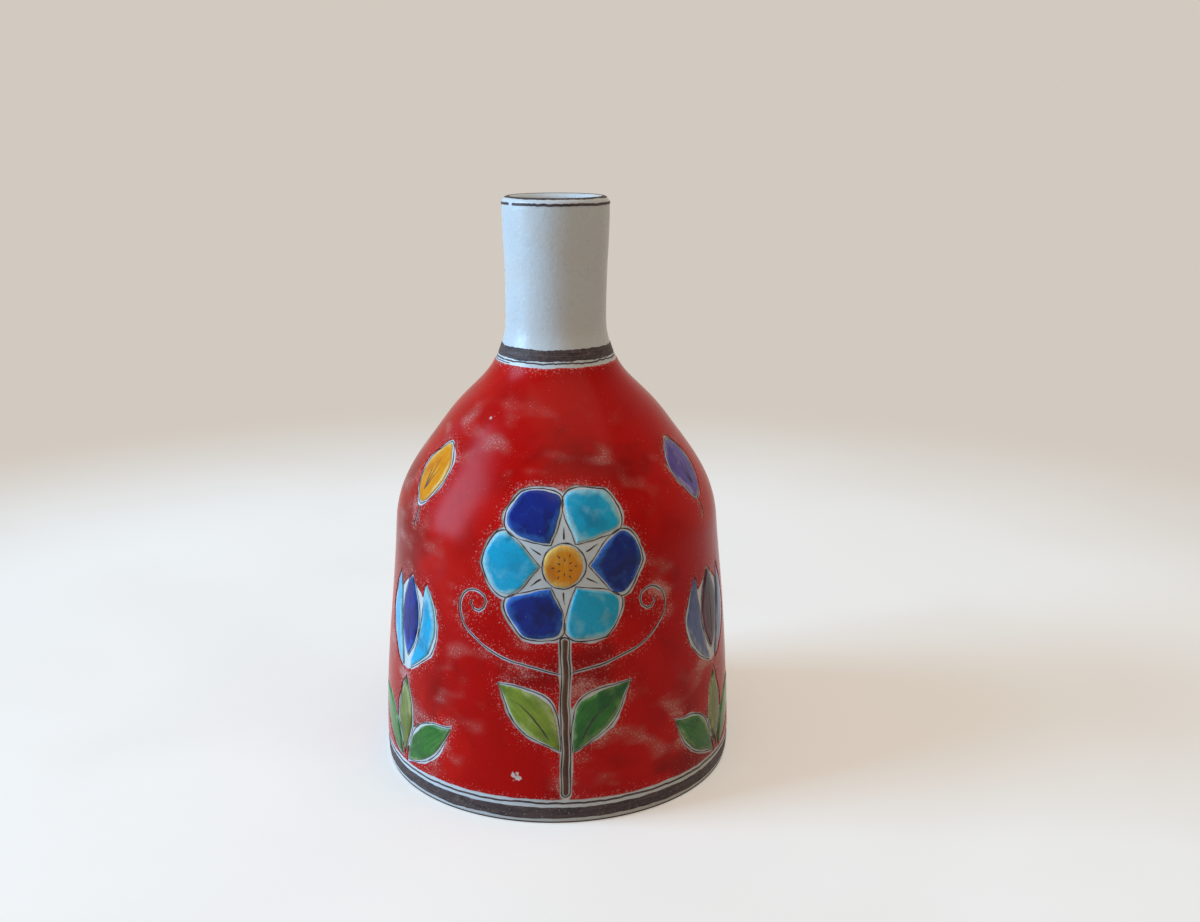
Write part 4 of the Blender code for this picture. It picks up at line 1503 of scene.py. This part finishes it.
class VASE_OT_outlines(bpy.types.Operator):
    """Draw the dark outline round each pool"""

    bl_idname = "vase.outlines"
    bl_label = "Outlines"

    def execute(self, context):
        settings = context.scene.vase_surface
        width, place = settings.line_width / MM, settings.line_place / MM
        store = {}

        def make(drawn):
            middle = drawn.at(place)
            spots = [Vector((p.x / LINE_WAVE, p.y / LINE_WAVE, LINE_SEED)) for p in middle]
            widths = [1 + LINE_VARIES * noise.noise(spot) for spot in spots]

            def line_at(grow):
                side = drawn.at(place + grow)
                return [a.lerp(b, share) for a, b, share in zip(middle, side, widths)]

            half, flat = width / 2, width / 3
            rings = [(-half, LINE_SINK), (-flat, LINE_TOP), (flat, LINE_TOP), (half, LINE_SINK)]
            return ringed("flat_line", line_at, rings, hollow=True)

        def make_stroke(drawn):
            return ringed("flat_stroke", drawn.at, STROKE_RINGS)

        details = drawn_details()
        on_pool = settings.pool_height / MM - STROKE_SET
        for plant, pools in all_pools().items():
            ground, top = details[plant]
            lines = []
            rounds = ((pools, make, 0.0), (ground, make_stroke, 0.0), (top, make_stroke, on_pool))
            for drawn_list, maker, height in rounds:
                for drawn in drawn_list:
                    lines.append(laid(made_once(store, drawn, maker), drawn, "line", height))
            item = joined(lines, "vase_" + plant + "_outlines")
            smooth(item, 60)
            piece(item, "manganese_slip", material_of("manganese_line"))
        put_away(store)
        return {"FINISHED"}


def joined(items, name):
    """Several pieces of one kind as one object."""
    clear_selection()
    for item in items:
        item.select_set(True)
    bpy.context.view_layer.objects.active = items[0]
    if len(items) > 1:
        bpy.ops.object.join()
    items[0].name = items[0].data.name = name
    return items[0]


class VASE_OT_stage(bpy.types.Operator):
    """Set the floor, the lights and the camera"""

    bl_idname = "vase.stage"
    bl_label = "Studio"

    def execute(self, context):
        studio = context.scene.vase_studio
        self.floor(studio)
        self.world(context, studio)
        for name, power in (("window", studio.window_power), ("ceiling", studio.ceiling_power)):
            self.light(context, power, name, *LAMPS[name])
        self.camera(context)
        context.scene.view_settings.view_transform = "Standard"
        return {"FINISHED"}

    def floor(self, studio):
        clear_selection()
        bpy.ops.mesh.primitive_circle_add(vertices=64, radius=8.0, fill_type="NGON")
        floor = bpy.context.object
        floor.name = "floor"
        finish = {"Roughness": 0.9, "IOR": 1.45, "Specular_IOR_Level": 0.0}
        material, tree, shader = fresh_material("floor_paint", **finish)
        where = add_node(tree, "TexCoord").outputs["Object"]
        pale = patched(tree, where, tuple(studio.floor_colour), FLOOR_PATCHES)
        seen = self.seen_directly(tree)
        body = add_node(tree, "Mix", {"Factor": seen, MIX_A: linear(FLOOR_BOUNCE), MIX_B: pale})
        feed(tree, shader.inputs["Base Color"], body)
        glow = add_node(tree, "Math", {0: seen, 1: FLOOR_GLOW}, operation="MULTIPLY")
        feed(tree, shader.inputs["Emission Color"], pale)
        feed(tree, shader.inputs["Emission Strength"], glow)
        # Away from the vase, the floor fades to the backdrop's colour, as a studio's paper sweep does.
        away = add_node(tree, "VectorMath", {0: where}, operation="LENGTH").outputs["Value"]
        near, far = FLOOR_FADE
        away = add_node(tree, "MapRange", {"Value": away, "From Min": near, "From Max": far})
        away = add_node(tree, "Math", {0: away, 1: seen}, operation="MULTIPLY")
        sweep = add_node(tree, "Emission", {"Color": tuple(studio.backdrop_colour)})
        mixed = add_node(tree, "MixShader", {0: away, 1: shader, 2: sweep})
        feed(tree, tree.nodes["Material Output"].inputs["Surface"], mixed)
        floor.data.materials.append(material)

    def seen_directly(self, tree):
        """1 on a ray from the camera, or by way of gloss or glass, and 0 on one that carries light."""
        rays = add_node(tree, "LightPath").outputs
        feeds = {0: rays["Is Camera Ray"], 1: rays["Is Glossy Ray"]}
        seen = add_node(tree, "Math", feeds, operation="MAXIMUM")
        feeds = {0: seen, 1: rays["Is Transmission Ray"]}
        return add_node(tree, "Math", feeds, operation="MAXIMUM")

    def world(self, context, studio):
        world = bpy.data.worlds.new("studio")
        context.scene.world = world
        world.use_nodes = True
        tree = world.node_tree
        light = tree.nodes["Background"]
        feed(tree, light.inputs["Color"], linear(SKY_COLOUR))
        feed(tree, light.inputs["Strength"], studio.sky)
        backdrop = add_node(tree, "Background", {"Color": tuple(studio.backdrop_colour)})
        mixed = add_node(tree, "MixShader", {0: self.seen_directly(tree), 1: light, 2: backdrop})
        feed(tree, tree.nodes["World Output"].inputs["Surface"], mixed)

    def light(self, context, power, name, place, size, colour):
        lamp = bpy.data.lights.new(name, "AREA")
        lamp.shape = "RECTANGLE"
        lamp.size, lamp.size_y = size
        lamp.energy = power
        lamp.color = linear(colour)[:3]
        item = bpy.data.objects.new(name, lamp)
        item.location = place
        way = Vector(LAMPS_AIM) - Vector(place)
        item.rotation_euler = way.to_track_quat("-Z", "Y").to_euler()
        context.scene.collection.objects.link(item)

    def camera(self, context):
        lens = bpy.data.cameras.new("camera")
        lens.lens = CAMERA_LENS
        lens.sensor_width = 36.0
        lens.shift_y = CAMERA_SHIFT
        lens.clip_start = 0.01
        item = bpy.data.objects.new("camera", lens)
        item.location = CAMERA_PLACE
        item.rotation_euler = (math.radians(90 - CAMERA_PITCH), 0.0, 0.0)
        context.scene.collection.objects.link(item)
        context.scene.camera = item


class VASE_PT_panel(bpy.types.Panel):
    """The vase's pieces, in the order in which they are made"""

    bl_idname = "VASE_PT_panel"
    bl_label = "Painted Vase"
    bl_space_type = "VIEW_3D"
    bl_region_type = "UI"
    bl_category = "Vase"

    def draw(self, context):
        for group in (context.scene.vase_surface, context.scene.vase_studio):
            box = self.layout.box()
            for name in group.__annotations__:
                box.prop(group, name)
        for operator in OPERATORS:
            self.layout.operator(operator.bl_idname)


OPERATORS = (
    VASE_OT_clay,
    VASE_OT_white,
    VASE_OT_red,
    VASE_OT_bands,
    VASE_OT_blooms,
    VASE_OT_stems,
    VASE_OT_buds,
    VASE_OT_fruits,
    VASE_OT_outlines,
    VASE_OT_stage,
)
CLASSES = (VaseSurface, VaseStudio, *OPERATORS, VASE_PT_panel)


def register():
    for cls in CLASSES:
        bpy.utils.register_class(cls)
    bpy.types.Scene.vase_surface = bpy.props.PointerProperty(type=VaseSurface)
    bpy.types.Scene.vase_studio = bpy.props.PointerProperty(type=VaseStudio)


def unregister():
    del bpy.types.Scene.vase_studio
    del bpy.types.Scene.vase_surface
    for cls in reversed(CLASSES):
        bpy.utils.unregister_class(cls)


def main():
    register()
    for operator in OPERATORS:
        group, name = operator.bl_idname.split(".")
        if getattr(getattr(bpy.ops, group), name)() != {"FINISHED"}:
            raise RuntimeError(f"{operator.bl_label} wasn't finished")


if __name__ == "__main__":
    main()
